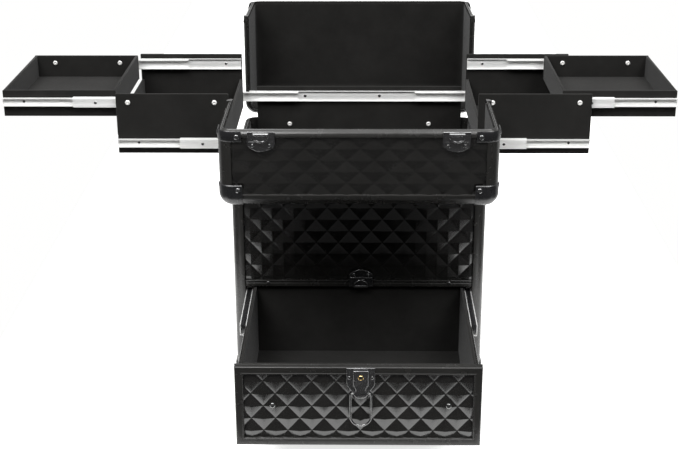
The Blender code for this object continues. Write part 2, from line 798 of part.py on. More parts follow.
def add_bodies():
    for facing, name in ((-1, "front_lid"), (1, "rear_lid")):
        add_body(name, (0, facing * (REAR + HINGE_OUT), BODY_HEIGHT + HINGE_UP))
    for side, hand in ((-1, "left"), (1, "right")):
        lower, upper = side * lower_inner_end(hand), side * upper_inner_end(hand)
        add_body(f"lower_tray_{hand}", (lower, 0, BODY_HEIGHT + LOWER_SLIDE_LEVEL))
        add_body(f"lower_runner_{hand}", (lower, 0, BODY_HEIGHT + LOWER_SLIDE_LEVEL))
        add_body(f"upper_tray_{hand}", (upper, 0, BODY_HEIGHT + UPPER_SLIDE_LEVEL))
        add_body(f"upper_runner_{hand}", (upper, 0, BODY_HEIGHT + UPPER_SLIDE_LEVEL))
        latch_bodies(f"lid_latch_{hand}", side * LID_LATCH_X, LID_LATCH_FACE, 1, LID_LATCH_TOP)
    add_body("drawer", (0, DRAWER_FACE, DRAWER_SLIDE_LEVEL))
    add_body("drawer_runner", (0, DRAWER_FACE, DRAWER_SLIDE_LEVEL))
    latch_bodies("drawer_latch", DRAWER_LATCH_X, DRAWER_FACE, -1, DRAWER_LATCH_TOP)
    add_body("carry_handle", (0, *handle_axis()))


def latches_and_keepers():
    front_face = -LID_LATCH_FACE
    for side, hand in ((-1, "left"), (1, "right")):
        x = side * LID_LATCH_X
        draw_latch(f"lid_latch_{hand}", x, LID_LATCH_FACE, 1, LID_LATCH_TOP, "rear_lid")
        edge = TOP + FRONT_LID_DEPTH - 0.0015
        keeper(f"lid_keeper_{hand}", x, front_face, -1, edge, 1, "front_lid")
    draw_latch("drawer_latch", DRAWER_LATCH_X, DRAWER_FACE, -1, DRAWER_LATCH_TOP, "drawer")
    keeper("drawer_keeper", DRAWER_LATCH_X, FRONT, -1, RAIL_BOTTOM + 0.001, -1, None)


def lean_rear_lid():
    """The open rear lid rests a little past level, so it and all it carries turn back on its hinge."""
    hinge = BODIES["rear_lid"]
    for name, empty in BODIES.items():
        if name.startswith("lid_latch") or name == "carry_handle":
            empty.location -= hinge.location
            empty.parent = hinge
    hinge.rotation_euler.x = -math.radians(REAR_LID_LEAN)


add_bodies()
body_frame()
body_panels()
body_boards()
slide_boards()
lower_slides()
upper_slides()
trays()
lid(-1, "front_lid_shell", FRONT_LID_DEPTH)
lid(1, "rear_lid_shell", REAR_LID_DEPTH)
lid_hinges()
drawer()
drawer_slides()
latches_and_keepers()
carry_handle()
lean_rear_lid()
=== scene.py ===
"""The makeup train case's looks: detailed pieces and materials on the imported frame."""

import math

import bmesh
import bpy
from mathutils import Matrix, Vector

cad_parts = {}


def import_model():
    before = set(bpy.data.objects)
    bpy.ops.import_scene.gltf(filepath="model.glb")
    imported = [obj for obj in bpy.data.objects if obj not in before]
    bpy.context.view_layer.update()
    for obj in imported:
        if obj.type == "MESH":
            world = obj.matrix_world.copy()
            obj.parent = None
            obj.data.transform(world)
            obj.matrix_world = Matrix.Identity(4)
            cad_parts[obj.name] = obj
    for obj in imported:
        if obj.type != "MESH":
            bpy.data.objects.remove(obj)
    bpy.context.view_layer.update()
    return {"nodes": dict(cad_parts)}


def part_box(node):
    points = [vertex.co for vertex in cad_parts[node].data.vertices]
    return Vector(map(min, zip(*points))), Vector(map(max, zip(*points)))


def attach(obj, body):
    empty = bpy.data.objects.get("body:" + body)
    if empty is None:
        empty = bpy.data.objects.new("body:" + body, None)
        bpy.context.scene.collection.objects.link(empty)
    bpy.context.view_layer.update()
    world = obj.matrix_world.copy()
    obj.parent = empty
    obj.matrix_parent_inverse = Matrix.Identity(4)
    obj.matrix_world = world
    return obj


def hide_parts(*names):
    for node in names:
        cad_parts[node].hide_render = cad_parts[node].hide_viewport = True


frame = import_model()

# ---- dimensions, as in the CAD

HALF = 0.170
FRONT, REAR = -0.1305, 0.1305
BODY_TOP = 0.326
POST = 0.0165
POST_WALL = 0.0060
WALL = 0.008
RIM = 0.010
RADIUS = 0.016
RAIL_TOP, RAIL_BOTTOM = 0.1715, 0.162
PLINTH = 0.051
GAP = 0.0003
LID_FLOOR = 0.329
LID_NEAR = 0.131
LID_REACH = 0.137
LID_WALL = 0.007
REAR_LID_LEAN = math.radians(2.0)
REAR_HINGE = Vector((0, 0.132, 0.3275))
LATCH_X = 0.003
DRAWER_FACE = -0.3645
DRAWER_TOP, DRAWER_BOTTOM = 0.1612, 0.0535
BODY_CELL = (0.0296, 0.0330)
LID_CELL = (0.0334, 0.0292)


# ---- materials


def material(name, base, roughness, metallic=0.0):
    made = bpy.data.materials.new(name)
    made.use_nodes = True
    shader = made.node_tree.nodes["Principled BSDF"]
    shader.inputs["Base Color"].default_value = (*base, 1)
    shader.inputs["Roughness"].default_value = roughness
    shader.inputs["Metallic"].default_value = metallic
    return made, made.node_tree, shader


def node(tree, kind, **settings):
    made = tree.nodes.new(kind)
    for name, value in settings.items():
        setattr(made, name, value)
    return made


def coordinates(tree, scale):
    """Object coordinates, stretched by a scale on each axis."""
    source = node(tree, "ShaderNodeTexCoord")
    mapping = node(tree, "ShaderNodeMapping")
    mapping.inputs["Scale"].default_value = scale
    tree.links.new(source.outputs["Object"], mapping.inputs["Vector"])
    return mapping.outputs["Vector"]


def noise(tree, scale, detail=3, stretch=(1, 1, 1), roughness=0.6):
    made = node(tree, "ShaderNodeTexNoise")
    made.inputs["Scale"].default_value = scale
    made.inputs["Detail"].default_value = detail
    made.inputs["Roughness"].default_value = roughness
    tree.links.new(coordinates(tree, stretch), made.inputs["Vector"])
    return made.outputs["Fac"]


def ramp(tree, source, low, high, start=0.3, end=0.7):
    """A noise turned into a value or colour between low and high."""
    made = node(tree, "ShaderNodeValToRGB")
    made.color_ramp.elements[0].position = start
    made.color_ramp.elements[1].position = end
    for element, value in zip(made.color_ramp.elements, (low, high)):
        element.color = (*value, 1) if isinstance(value, tuple) else (value, value, value, 1)
    tree.links.new(source, made.inputs["Fac"])
    return made.outputs["Color"]


def bump(tree, shader, height, strength, distance, under=None):
    made = node(tree, "ShaderNodeBump")
    made.inputs["Strength"].default_value = strength
    made.inputs["Distance"].default_value = distance
    tree.links.new(height, made.inputs["Height"])
    if under:
        tree.links.new(under, made.inputs["Normal"])
    tree.links.new(made.outputs["Normal"], shader.inputs["Normal"])
    return made.outputs["Normal"]


def satin_aluminium():
    made, tree, shader = material("satin_black_aluminium", (0.018, 0.0175, 0.0165), 0.25)
    shader.inputs["IOR"].default_value = 1.5
    wear = noise(tree, 14, 4)
    tree.links.new(ramp(tree, wear, (0.014, 0.0136, 0.0128), (0.021, 0.0204, 0.0192)), shader.inputs["Base Color"])
    tree.links.new(ramp(tree, noise(tree, 60, 3), 0.20, 0.30), shader.inputs["Roughness"])
    bump(tree, shader, noise(tree, 900, 2), 0.12, 0.0002)
    return made


def gloss_sheet():
    made, tree, shader = material("gloss_diamond_sheet", (0.011, 0.0107, 0.0100), 0.2)
    shader.inputs["IOR"].default_value = 1.72
    tree.links.new(
        ramp(tree, noise(tree, 20, 3), (0.0080, 0.0077, 0.0072), (0.0108, 0.0104, 0.0097)),
        shader.inputs["Base Color"],
    )
    tree.links.new(ramp(tree, noise(tree, 35, 3), 0.15, 0.26), shader.inputs["Roughness"])
    grain = noise(tree, 1500, 2)
    waves = noise(tree, 90, 2)
    under = bump(tree, shader, waves, 0.10, 0.0010)
    bump(tree, shader, grain, 0.08, 0.0002, under)
    return made


def flock():
    made, tree, shader = material("black_flock", (0.008, 0.0078, 0.0074), 1.0)
    shader.inputs["Sheen Weight"].default_value = 0.10
    shader.inputs["Sheen Roughness"].default_value = 0.45
    shader.inputs["Specular IOR Level"].default_value = 0.15
    nap = noise(tree, 22, 5, roughness=0.7)
    tree.links.new(
        ramp(tree, nap, (0.0095, 0.0092, 0.0086), (0.0150, 0.0145, 0.0136), 0.32, 0.72),
        shader.inputs["Base Color"],
    )
    fibres = noise(tree, 2600, 3)
    pile = noise(tree, 160, 4)
    under = bump(tree, shader, pile, 0.25, 0.0006)
    bump(tree, shader, fibres, 0.5, 0.0003, under)
    return made


def zinc():
    made, tree, shader = material("bright_zinc", (0.86, 0.86, 0.85), 0.4, 0.35)
    streaks = noise(tree, 60, 3, (1, 18, 18))
    tree.links.new(ramp(tree, streaks, (0.85, 0.85, 0.84), (0.93, 0.93, 0.92)), shader.inputs["Base Color"])
    tree.links.new(ramp(tree, streaks, 0.32, 0.44), shader.inputs["Roughness"])
    bump(tree, shader, noise(tree, 1500, 2), 0.05, 0.0001)
    return made


def bright_steel():
    made, tree, shader = material("nickel_screws", (0.90, 0.89, 0.87), 0.36, 0.35)
    tree.links.new(ramp(tree, noise(tree, 400, 3), 0.28, 0.44), shader.inputs["Roughness"])
    return made


def black_plating():
    made, tree, shader = material("glossy_black_plating", (0.014, 0.014, 0.015), 0.16, 0.0)
    shader.inputs["IOR"].default_value = 2.7
    shader.inputs["Coat Weight"].default_value = 0.5
    shader.inputs["Coat Roughness"].default_value = 0.06
    tree.links.new(ramp(tree, noise(tree, 120, 4), 0.12, 0.28), shader.inputs["Roughness"])
    bump(tree, shader, noise(tree, 700, 3), 0.10, 0.0002)
    return made


def cap_plastic():
    made, tree, shader = material("black_corner_plastic", (0.012, 0.012, 0.013), 0.3)
    shader.inputs["IOR"].default_value = 1.55
    tree.links.new(ramp(tree, noise(tree, 50, 3), 0.22, 0.36), shader.inputs["Roughness"])
    bump(tree, shader, noise(tree, 1800, 3), 0.25, 0.0002)
    return made


def brass():
    made, tree, shader = material("polished_brass", (0.83, 0.60, 0.27), 0.2, 1.0)
    tree.links.new(ramp(tree, noise(tree, 500, 3), 0.14, 0.30), shader.inputs["Roughness"])
    return made


def fibreboard():
    made, tree, shader = material("red_brown_fibreboard", (0.16, 0.07, 0.045), 0.8)
    fibres = noise(tree, 260, 6, roughness=0.75)
    tree.links.new(
        ramp(tree, fibres, (0.085, 0.035, 0.024), (0.20, 0.095, 0.062)), shader.inputs["Base Color"]
    )
    bump(tree, shader, fibres, 0.35, 0.0004)
    return made


def grip_plastic():
    made, tree, shader = material("matt_grip_plastic", (0.015, 0.015, 0.015), 0.5)
    tree.links.new(ramp(tree, noise(tree, 40, 3), 0.42, 0.58), shader.inputs["Roughness"])
    bump(tree, shader, noise(tree, 1100, 4), 0.5, 0.0003)
    return made


ALUMINIUM = satin_aluminium()
SHEET = gloss_sheet()
FLOCK = flock()
ZINC = zinc()
STEEL = bright_steel()
PLATING = black_plating()
CAP = cap_plastic()
BRASS = brass()
BOARD = fibreboard()
GRIP = grip_plastic()


# ---- meshes


def add(name, mesh, skin, body, replaces=(), sharp=35):
    """Turns a bmesh in world coordinates into a piece that rides on a body."""
    if body == "rear_lid" or body.startswith("lid_latch") or body == "carry_handle":
        lean = Matrix.Rotation(-REAR_LID_LEAN, 4, "X")
        about = Matrix.Translation(REAR_HINGE) @ lean @ Matrix.Translation(-REAR_HINGE)
        bmesh.ops.transform(mesh, matrix=about, verts=mesh.verts)
    bmesh.ops.recalc_face_normals(mesh, faces=mesh.faces)
    limit = math.radians(sharp)
    for face in mesh.faces:
        face.smooth = True
    for edge in mesh.edges:
        edge.smooth = len(edge.link_faces) == 2 and edge.calc_face_angle(0) < limit
    data = bpy.data.meshes.new(name)
    mesh.to_mesh(data)
    mesh.free()
    data.materials.append(skin)
    piece = bpy.data.objects.new(name, data)
    bpy.context.scene.collection.objects.link(piece)
    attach(piece, body)
    if replaces:
        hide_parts(*replaces)
    return piece


def append(target, source):
    """Copies one bmesh into another."""
    copy = {v: target.verts.new(v.co) for v in source.verts}
    for face in source.faces:
        target.faces.new([copy[v] for v in face.verts])
    source.free()
    return target


def combined(*meshes):
    out = bmesh.new()
    for mesh in meshes:
        append(out, mesh)
    return out


def solid_box(low, high, edge=0.0, segments=2, chosen=None):
    """A box with its edges, or the chosen ones, rounded."""
    low, high = Vector(low), Vector(high)
    mesh = bmesh.new()
    bmesh.ops.create_cube(mesh, size=1)
    size = Matrix.Diagonal((*(high - low), 1))
    bmesh.ops.transform(mesh, matrix=Matrix.Translation((low + high) / 2) @ size, verts=mesh.verts)
    if edge:
        edges = []
        for item in mesh.edges:
            a, b = (v.co for v in item.verts)
            if chosen is None or chosen((a + b) / 2, (b - a).normalized()):
                edges.append(item)
        bmesh.ops.bevel(
            mesh, geom=edges, offset=edge, segments=segments, profile=0.5, affect="EDGES", clamp_overlap=True
        )
    return mesh


def sorted_box(a, b, edge=0.0, segments=2, chosen=None):
    low = [min(p, q) for p, q in zip(a, b)]
    high = [max(p, q) for p, q in zip(a, b)]
    return solid_box(low, high, edge, segments, chosen)


def rings_to_mesh(rings, closed_path=False, caps=True):
    """Skins a list of rings, each a closed list of points, into a solid."""
    mesh = bmesh.new()
    rows = [[mesh.verts.new(p) for p in ring] for ring in rings]
    count = len(rows[0])
    pairs = list(zip(rows, rows[1:])) + ([(rows[-1], rows[0])] if closed_path else [])
    for a, b in pairs:
        for k in range(count):
            n = (k + 1) % count
            mesh.faces.new((a[k], a[n], b[n], b[k]))
    if not closed_path and caps:
        mesh.faces.new(rows[0][::-1])
        mesh.faces.new(rows[-1])
    return mesh


def prism(outline, at, start, end):
    """Extrudes a 2-D outline. at(p, t) gives the world point for an outline point at t along the extrusion."""
    return rings_to_mesh([[at(p, start) for p in outline], [at(p, end) for p in outline]])


def arc(centre, radius, start, end, steps):
    out = []
    for step in range(steps + 1):
        angle = math.radians(start + (end - start) * step / steps)
        out.append((centre[0] + radius * math.cos(angle), centre[1] + radius * math.sin(angle)))
    return out


def ribbon(line, thickness):
    """The outline of bent sheet metal: a polyline thickened to one side."""
    side = []
    for k, point in enumerate(line):
        before = Vector(line[max(k - 1, 0)])
        after = Vector(line[min(k + 1, len(line) - 1)])
        here = Vector(point)
        a = (here - before).normalized() if k else (after - here).normalized()
        b = (after - here).normalized() if k < len(line) - 1 else a
        normal_a, normal_b = Vector((-a.y, a.x)), Vector((-b.y, b.x))
        normal = (normal_a + normal_b).normalized()
        stretch = 1 / max(normal.dot(normal_a), 0.5)
        side.append(tuple(here + normal * thickness * stretch))
    return list(line) + side[::-1]


def turned(profile, centre, axis, steps=24):
    """A solid of revolution: profile is (radius, height) along the axis, and starts and ends on it."""
    axis = Vector(axis).normalized()
    turn = axis.to_track_quat("Z", "Y").to_matrix()
    centre = Vector(centre)
    mesh = bmesh.new()
    rows = []
    for radius, height in profile:
        if radius < 1e-7:
            rows.append([mesh.verts.new(centre + turn @ Vector((0, 0, height)))])
            continue
        row = []
        for step in range(steps):
            angle = 2 * math.pi * step / steps
            point = Vector((radius * math.cos(angle), radius * math.sin(angle), height))
            row.append(mesh.verts.new(centre + turn @ point))
        rows.append(row)
    for a, b in zip(rows, rows[1:]):
        for k in range(steps):
            n = (k + 1) % steps
            if len(a) == 1:
                mesh.faces.new((a[0], b[n], b[k]))
            elif len(b) == 1:
                mesh.faces.new((a[k], a[n], b[0]))
            else:
                mesh.faces.new((a[k], a[n], b[n], b[k]))
    return mesh


def pan_head(centre, axis, radius=0.0033, height=0.0018):
    """A pan-head screw with a recess, standing on a face."""
    profile = [
        (0, -0.0002),
        (radius, -0.0002),
        (radius, height * 0.35),
        (radius * 0.93, height * 0.66),
        (radius * 0.74, height * 0.90),
        (radius * 0.46, height),
        (radius * 0.40, height * 0.96),
        (radius * 0.30, height * 0.45),
        (0, height * 0.35),
    ]
    return turned(profile, centre, axis, 20)


def rivet(centre, axis, radius=0.0033, height=0.0016):
    """A domed rivet with a pierced middle."""
    profile = [(0, -0.0002), (radius, -0.0002), (radius, height * 0.2)]
    profile += [
        (radius * math.cos(a) * 0.98 + radius * 0.02, height * (0.2 + 0.8 * math.sin(a)))
        for a in (math.radians(d) for d in (20, 40, 55, 68))
    ]
    profile += [(radius * 0.30, height * 0.96), (radius * 0.22, height * 0.70), (0, height * 0.62)]
    return turned(profile, centre, axis, 20)


def tube(points, radius, closed=False, sides=10):
    """A round bar along points."""
    points = [Vector(p) for p in points]
    count = len(points)
    rings = []
    normal = None
    for k, here in enumerate(points):
        before = points[(k - 1) % count] if closed or k else here
        after = points[(k + 1) % count] if closed or k < count - 1 else here
        along = (after - before).normalized()
        if normal is None:
            normal = along.orthogonal().normalized()
        normal = (normal - along * normal.dot(along)).normalized()
        across = along.cross(normal)
        ring = []
        for step in range(sides):
            angle = 2 * math.pi * step / sides
            ring.append(here + radius * (math.cos(angle) * normal + math.sin(angle) * across))
        rings.append(ring)
    return rings_to_mesh(rings, closed_path=closed)


def diamonds(origin, along, up, out, size, cell, apex, rise=0.0026, base=0.0030):
    """A sheet of raised four-sided pyramids, clipped to a rectangle, with a flat back.

    origin is the rectangle's lower left corner on the sheet's base plane, apex the place of one pyramid's top
    in the sheet's own (along, up) coordinates."""
    origin, along, up, out = (Vector(v) for v in (origin, along, up, out))
    half_w, half_h = cell[0] / 2, cell[1] / 2
    to_edge = half_w * half_h / math.hypot(half_w, half_h)
    # (distance in from the pyramid's foot, height): a flat channel, a rolled edge, then the even slope
    levels = [(0.0, 0.0), (0.0003, 0.0), (0.0009, rise * 0.065), (0.0016, rise * 0.16), (0.0024, rise * 0.255)]
    levels += [(to_edge * 0.96, rise * 0.985), (to_edge * 0.985, rise)]
    levels = [(1 - distance / to_edge, height) for distance, height in levels]
    mesh = bmesh.new()
    reach_i = int(size[0] / half_w) + 3
    reach_j = int(size[1] / half_h) + 3
    for i in range(-reach_i, reach_i):
        for j in range(-reach_j, reach_j):
            if (i + j) % 2:
                continue
            x, y = apex[0] + i * half_w, apex[1] + j * half_h
            if not (-half_w < x < size[0] + half_w and -half_h < y < size[1] + half_h):
                continue
            rings = []
            for share, height in levels:
                ring = []
                for dx, dy in ((half_w, 0), (0, half_h), (-half_w, 0), (0, -half_h)):
                    ring.append(mesh.verts.new((x + dx * share, y + dy * share, height)))
                rings.append(ring)
            for a, b in zip(rings, rings[1:]):
                for k in range(4):
                    n = (k + 1) % 4
                    mesh.faces.new((a[k], a[n], b[n], b[k]))
            mesh.faces.new(rings[-1])
    bmesh.ops.remove_doubles(mesh, verts=mesh.verts, dist=1e-6)
    for co, no in (
        ((0, 0, 0), (-1, 0, 0)),
        ((size[0], 0, 0), (1, 0, 0)),
        ((0, 0, 0), (0, -1, 0)),
        ((0, size[1], 0), (0, 1, 0)),
    ):
        geom = mesh.verts[:] + mesh.edges[:] + mesh.faces[:]
        bmesh.ops.bisect_plane(mesh, geom=geom, plane_co=co, plane_no=no, clear_outer=True, dist=1e-6)
    border = [e for e in mesh.edges if e.is_boundary]
    made = bmesh.ops.extrude_edge_only(mesh, edges=border)["geom"]
    for item in made:
        if isinstance(item, bmesh.types.BMVert):
            item.co.z = -base
    bottom = [e for e in made if isinstance(e, bmesh.types.BMEdge) and e.is_boundary]
    bmesh.ops.contextual_create(mesh, geom=bottom)
    for vert in mesh.verts:
        x, y, z = vert.co
        vert.co = origin + along * x + up * y + out * z
    return mesh


# ---- the body


def rounded_ring(half_x, half_y, radius, inset, z, steps=10):
    """A ring of points round a rounded rectangle, inset from its edge, at height z."""
    out = []
    for cx, cy, start in ((1, 1, 0), (-1, 1, 90), (-1, -1, 180), (1, -1, 270)):
        centre = (cx * (half_x - radius), cy * (half_y - radius))
        out += [(x, y, z) for x, y in arc(centre, radius - inset, start, start + 90, steps)]
    return out


def closed_rim(half_x, half_y, radius, profile, z):
    """A closed extrusion round a rounded rectangle. profile is a closed list of (inset, height)."""
    columns = [rounded_ring(half_x, half_y, radius, inset, z + height) for inset, height in profile]
    rings = [list(ring) for ring in zip(*columns)]
    return rings_to_mesh(rings, closed_path=True)


POST_PROFILE = (
    [(POST, 0.0012), (POST - 0.0004, 0.0004), (POST - 0.0012, 0.0)]
    + arc((RADIUS, RADIUS), RADIUS, 270, 180, 14)[1:-1]
    + [(0.0, POST - 0.0012), (0.0004, POST - 0.0004), (0.0012, POST)]
    + [(POST_WALL - 0.0004, POST), (POST_WALL, POST - 0.0004), (POST_WALL, POST_WALL + 0.001)]
    + [(POST_WALL + 0.001, POST_WALL), (POST - 0.0004, POST_WALL), (POST, POST_WALL - 0.0004)]
)


def body_posts():
    out = bmesh.new()
    for sx in (-1, 1):
        for sy in (-1, 1):

            def at(p, t, sx=sx, sy=sy):
                return (sx * (HALF - p[0]), sy * (REAR - p[1]), t)

            append(out, prism(POST_PROFILE, at, 0.0, BODY_TOP - RIM))
    add("body_posts", out, ALUMINIUM, "carcass", ["body_frame"], sharp=28)


def body_rims():
    top = [
        (0.0006, 0.0),
        (0.0, 0.0006),
        (0.0, 0.0050),
        (0.0003, 0.0066),
        (0.0012, 0.0080),
        (0.0022, 0.0088),
        (0.0030, 0.0090),
        (0.0034, 0.0086),
        (0.0034, 0.0070),
        (0.0050, 0.0070),
        (0.0050, 0.0095),
        (0.0055, 0.0100),
        (0.0068, 0.0100),
        (0.0074, 0.0094),
        (0.0074, 0.0),
    ]
    bottom = [(0.0006, 0.0), (0.0, 0.0008), (0.0, RIM), (0.0074, RIM), (0.0074, 0.0)]
    bars = [closed_rim(HALF, REAR, RADIUS, top, BODY_TOP - RIM)]
    bars.append(closed_rim(HALF, REAR, RADIUS, bottom, 0.0))
    add("body_rims", combined(*bars), ALUMINIUM, "carcass", ["body_frame"], sharp=28)


def body_rail():
    """The rail over the drawer, with a groove along it, and the plinth's upper rail."""
    outline = [
        (0.0012, 0.0),
        (0.0, 0.0010),
        (0.0, 0.0046),
        (0.0008, 0.0052),
        (0.0014, 0.0058),
        (0.0014, 0.0066),
        (0.0004, 0.0072),
        (0.0004, 0.0088),
        (0.0010, 0.0094),
        (WALL, 0.0094),
        (WALL, 0.0),
    ]
    reach = HALF - POST - GAP

    def at_rail(p, t):
        return (t, FRONT + p[0], RAIL_BOTTOM + p[1])

    def at_plinth(p, t):
        return (t, FRONT + p[0], PLINTH - 0.0094 + p[1])

    rails = combined(prism(outline, at_rail, -reach, reach), prism(outline, at_plinth, -reach, reach))
    add("body_rails", rails, ALUMINIUM, "carcass", ["body_frame"], sharp=28)
    heads = bmesh.new()
    for x in (-0.1225, 0.1225):
        append(heads, rivet((x, FRONT + 0.0004, RAIL_BOTTOM + 0.0055), (0, -1, 0), 0.0027, 0.0014))
    add("rail_rivets", heads, PLATING, "carcass")


def body_caps():
    """Bottom corner caps: moulded shells with a raised border, a rib and two rivets each."""
    shells, heads = bmesh.new(), bmesh.new()
    for sx in (-1, 1):
        for sy in (-1, 1):
            append(shells, corner_cap(sx, sy))
            for leg in (0, 1):
                x = sx * (HALF - (0.026 if leg else -0.0020))
                y = sy * (REAR - (-0.0020 if leg else 0.026))
                axis = (0, sy, 0) if leg else (sx, 0, 0)
                append(heads, rivet((x, y, 0.030), axis, 0.0030, 0.0008))
    add("corner_caps", shells, CAP, "carcass", ["body_frame"], sharp=40)
    add("corner_cap_rivets", heads, PLATING, "carcass")


def corner_cap(sx, sy):
    """One cap: an L-shaped wall round the corner that turns in under the case at its foot."""
    proud, reach, top, below = 0.0025, 0.034, 0.042, 0.0055
    radius = RADIUS + proud
    # each level: (outset from the case's face, inner inset, height)
    levels = [
        (0.0004, top),
        (0.0016, top - 0.0002),
        (0.0023, top - 0.0012),
        (proud, top - 0.0026),
        (proud, top - 0.0040),
        (proud - 0.0006, top - 0.0046),
        (proud - 0.0006, 0.004),
        (proud, 0.0034),
        (proud, -0.0016),
        (proud - 0.0005, -0.0032),
        (proud - 0.0017, -0.0047),
        (proud - 0.0038, -below),
    ]

    def outline(outset):
        r = radius - (proud - outset)
        far = reach - proud
        points = [(far, -outset), (RADIUS + 0.004, -outset)]
        points += [(x, y) for x, y in arc((RADIUS, RADIUS), r, 270, 180, 12)]
        points += [(-outset, RADIUS + 0.004), (-outset, far)]
        return points

    def world(p, z):
        return Vector((sx * (HALF - p[0]), sy * (REAR - p[1]), z))

    mesh = bmesh.new()
    rows = []
    for outset, z in levels:
        rows.append([mesh.verts.new(world(p, z)) for p in outline(outset)])
    # the inner skin, from the foot back up
    inside = [(0.0070, -below), (0.0070, -0.0002), (-0.0001, -0.0002), (-0.0001, top)]
    for inset, z in inside:
        points = inner_outline(inset, reach - proud)
        rows.append([mesh.verts.new(world(p, z)) for p in points])
    count = len(rows[0])
    rows.append(rows[0])
    for a, b in zip(rows, rows[1:]):
        for k in range(count - 1):
            mesh.faces.new((a[k], a[k + 1], b[k + 1], b[k]))
    for k in (0, count - 1):
        mesh.faces.new([row[k] for row in rows[:-1]])
    return mesh


def inner_outline(inset, far):
    r = RADIUS - inset
    points = [(far, inset), (RADIUS + 0.004, inset)]
    points += [(x, y) for x, y in arc((RADIUS, RADIUS), r, 270, 180, 12)]
    points += [(inset, RADIUS + 0.004), (inset, far)]
    return points


def body_panels():
    """Diamond sheets on the outside, bare board behind them, flock inside the bin."""
    side_w = 2 * (REAR - POST) - 2 * GAP
    low = RIM + GAP
    tall = BODY_TOP - 2 * RIM - 2 * GAP
    skin = 0.0036
    for sx, name in ((-1, "left_side_panel"), (1, "right_side_panel")):
        start = (sx * (HALF - skin), -sx * side_w / 2, low)
        mesh = diamonds(start, (0, sx, 0), (0, 0, 1), (sx, 0, 0), (side_w, tall), BODY_CELL, (side_w / 2, 0.018))
        add(f"{name}_sheet", mesh, SHEET, "carcass", [name], sharp=5)
    wide = 2 * (HALF - POST) - 2 * GAP
    mesh = diamonds(
        (wide / 2, REAR - skin, low),
        (-1, 0, 0),
        (0, 0, 1),
        (0, 1, 0),
        (wide, tall),
        BODY_CELL,
        (wide / 2, 0.018),
    )
    add("back_panel_sheet", mesh, SHEET, "carcass", ["back_panel"], sharp=5)
    bottom = RAIL_TOP + GAP
    mesh = diamonds(
        (-wide / 2, FRONT + skin, bottom),
        (1, 0, 0),
        (0, 0, 1),
        (0, -1, 0),
        (wide, BODY_TOP - RIM - GAP - bottom),
        BODY_CELL,
        (wide / 2 + 0.0020, 0.0045),
        0.0013,
    )
    add("upper_front_sheet", mesh, SHEET, "carcass", ["upper_front_panel"], sharp=5)
    mesh = diamonds(
        (-wide / 2, FRONT + skin, RIM + GAP),
        (1, 0, 0),
        (0, 0, 1),
        (0, -1, 0),
        (wide, PLINTH - 0.0094 - RIM - 2 * GAP),
        BODY_CELL,
        (wide / 2, 0.015),
    )
    add("plinth_sheet", mesh, SHEET, "carcass", ["body_frame"], sharp=5)
    linings()


def linings():
    """The boards inside the panels: bare fibreboard below the bin, flocked inside it."""
    inner_x, inner_y = HALF - 0.0066, REAR - 0.0066
    face_x, face_y = HALF - WALL, REAR - WALL
    floor = RAIL_TOP - 0.0065
    thin = 0.0008
    boards, lining = bmesh.new(), bmesh.new()
    lo, hi = 0.0054, BODY_TOP - RIM - GAP
    for sx in (-1, 1):
        append(boards, sorted_box((sx * inner_x, -face_y, lo), (sx * (face_x + thin), face_y, floor - GAP)))
        append(lining, sorted_box((sx * inner_x, -face_y, floor), (sx * face_x, face_y, BODY_TOP - 0.004)))
    append(boards, sorted_box((-face_x, inner_y, lo), (face_x, face_y + thin, floor - GAP)))
    append(lining, sorted_box((-face_x, inner_y, floor), (face_x, face_y, BODY_TOP - 0.004)))
    append(lining, sorted_box((-face_x, -inner_y, RAIL_TOP), (face_x, -face_y, BODY_TOP - 0.004)))
    add("body_boards", boards, BOARD, "carcass")
    add("bin_lining", lining, FLOCK, "carcass")
    floor_low, floor_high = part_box("bin_floor")
    split = floor_high.z - 0.0014
    add(
        "bin_floor_board",
        solid_box(floor_low, (floor_high.x, floor_high.y, split - 0.0001)),
        BOARD,
        "carcass",
        ["bin_floor"],
    )
    top = solid_box((floor_low.x, floor_low.y, split), floor_high, 0.0006)
    add("bin_floor_lining", top, FLOCK, "carcass", ["bin_floor"])


def slide_boards():
    """The boards that carry the lower channels, with a rounded, flocked upper edge and two screws each."""
    for facing, name in ((-1, "front_board"), (1, "rear_board")):
        low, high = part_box(name)

        def upper(middle, along, top=high.z):
            return middle.z > top - 1e-5 or abs(along.z) > 0.9

        mesh = solid_box(low, high, 0.0016, 4, upper)
        add(f"{name}_flocked", mesh, FLOCK, "carcass", [name])
        heads = bmesh.new()
        for x in (-0.1035, 0.1035):
            z = BODY_TOP - 0.0085
            append(heads, pan_head((x, low.y, z), (0, -1, 0), 0.0034, 0.0016))
        add(f"{name}_screws", heads, STEEL, "carcass")


def hinge_knuckles():
    """Long hinges: their barrels are split into knuckles, on a pin."""
    for name in ("front_hinge_barrel", "rear_hinge_barrel"):
        low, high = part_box(name)
        y, z = (low.y + high.y) / 2, (low.z + high.z) / 2
        radius = (high.z - low.z) / 2
        mesh = bmesh.new()
        count = 24
        pitch = (high.x - low.x) / count
        for k in range(count):
            x = low.x + k * pitch
            profile = [(0, 0), (radius - 0.0002, 0), (radius, 0.0002), (radius, pitch - 0.0006)]
            profile += [(radius - 0.0002, pitch - 0.0004), (0, pitch - 0.0004)]
            append(mesh, turned(profile, (x, y, z), (1, 0, 0), 12))
        append(mesh, tube([(low.x, y, z), (high.x, y, z)], radius * 0.45, sides=8))
        add(f"{name}_knuckles", mesh, ALUMINIUM, "carcass", [name])


# ---- slides


def channel_line(web, edge, half):
    """A slide's C section as a polyline from one lip to the other, in (distance from the wall, height)."""
    out = 1 if edge > web else -1
    r = 0.0012
    lower = [(edge, -half), (web + out * r, -half), (web + out * 0.0003, -half + 0.0004), (web, -half + r)]
    band = 0.42 * half
    middle = [(web, -band - 0.0008), (web + out * 0.0003, -band)]
    upper = [(u, -v) for u, v in reversed(lower + middle)]
    return lower + middle + upper


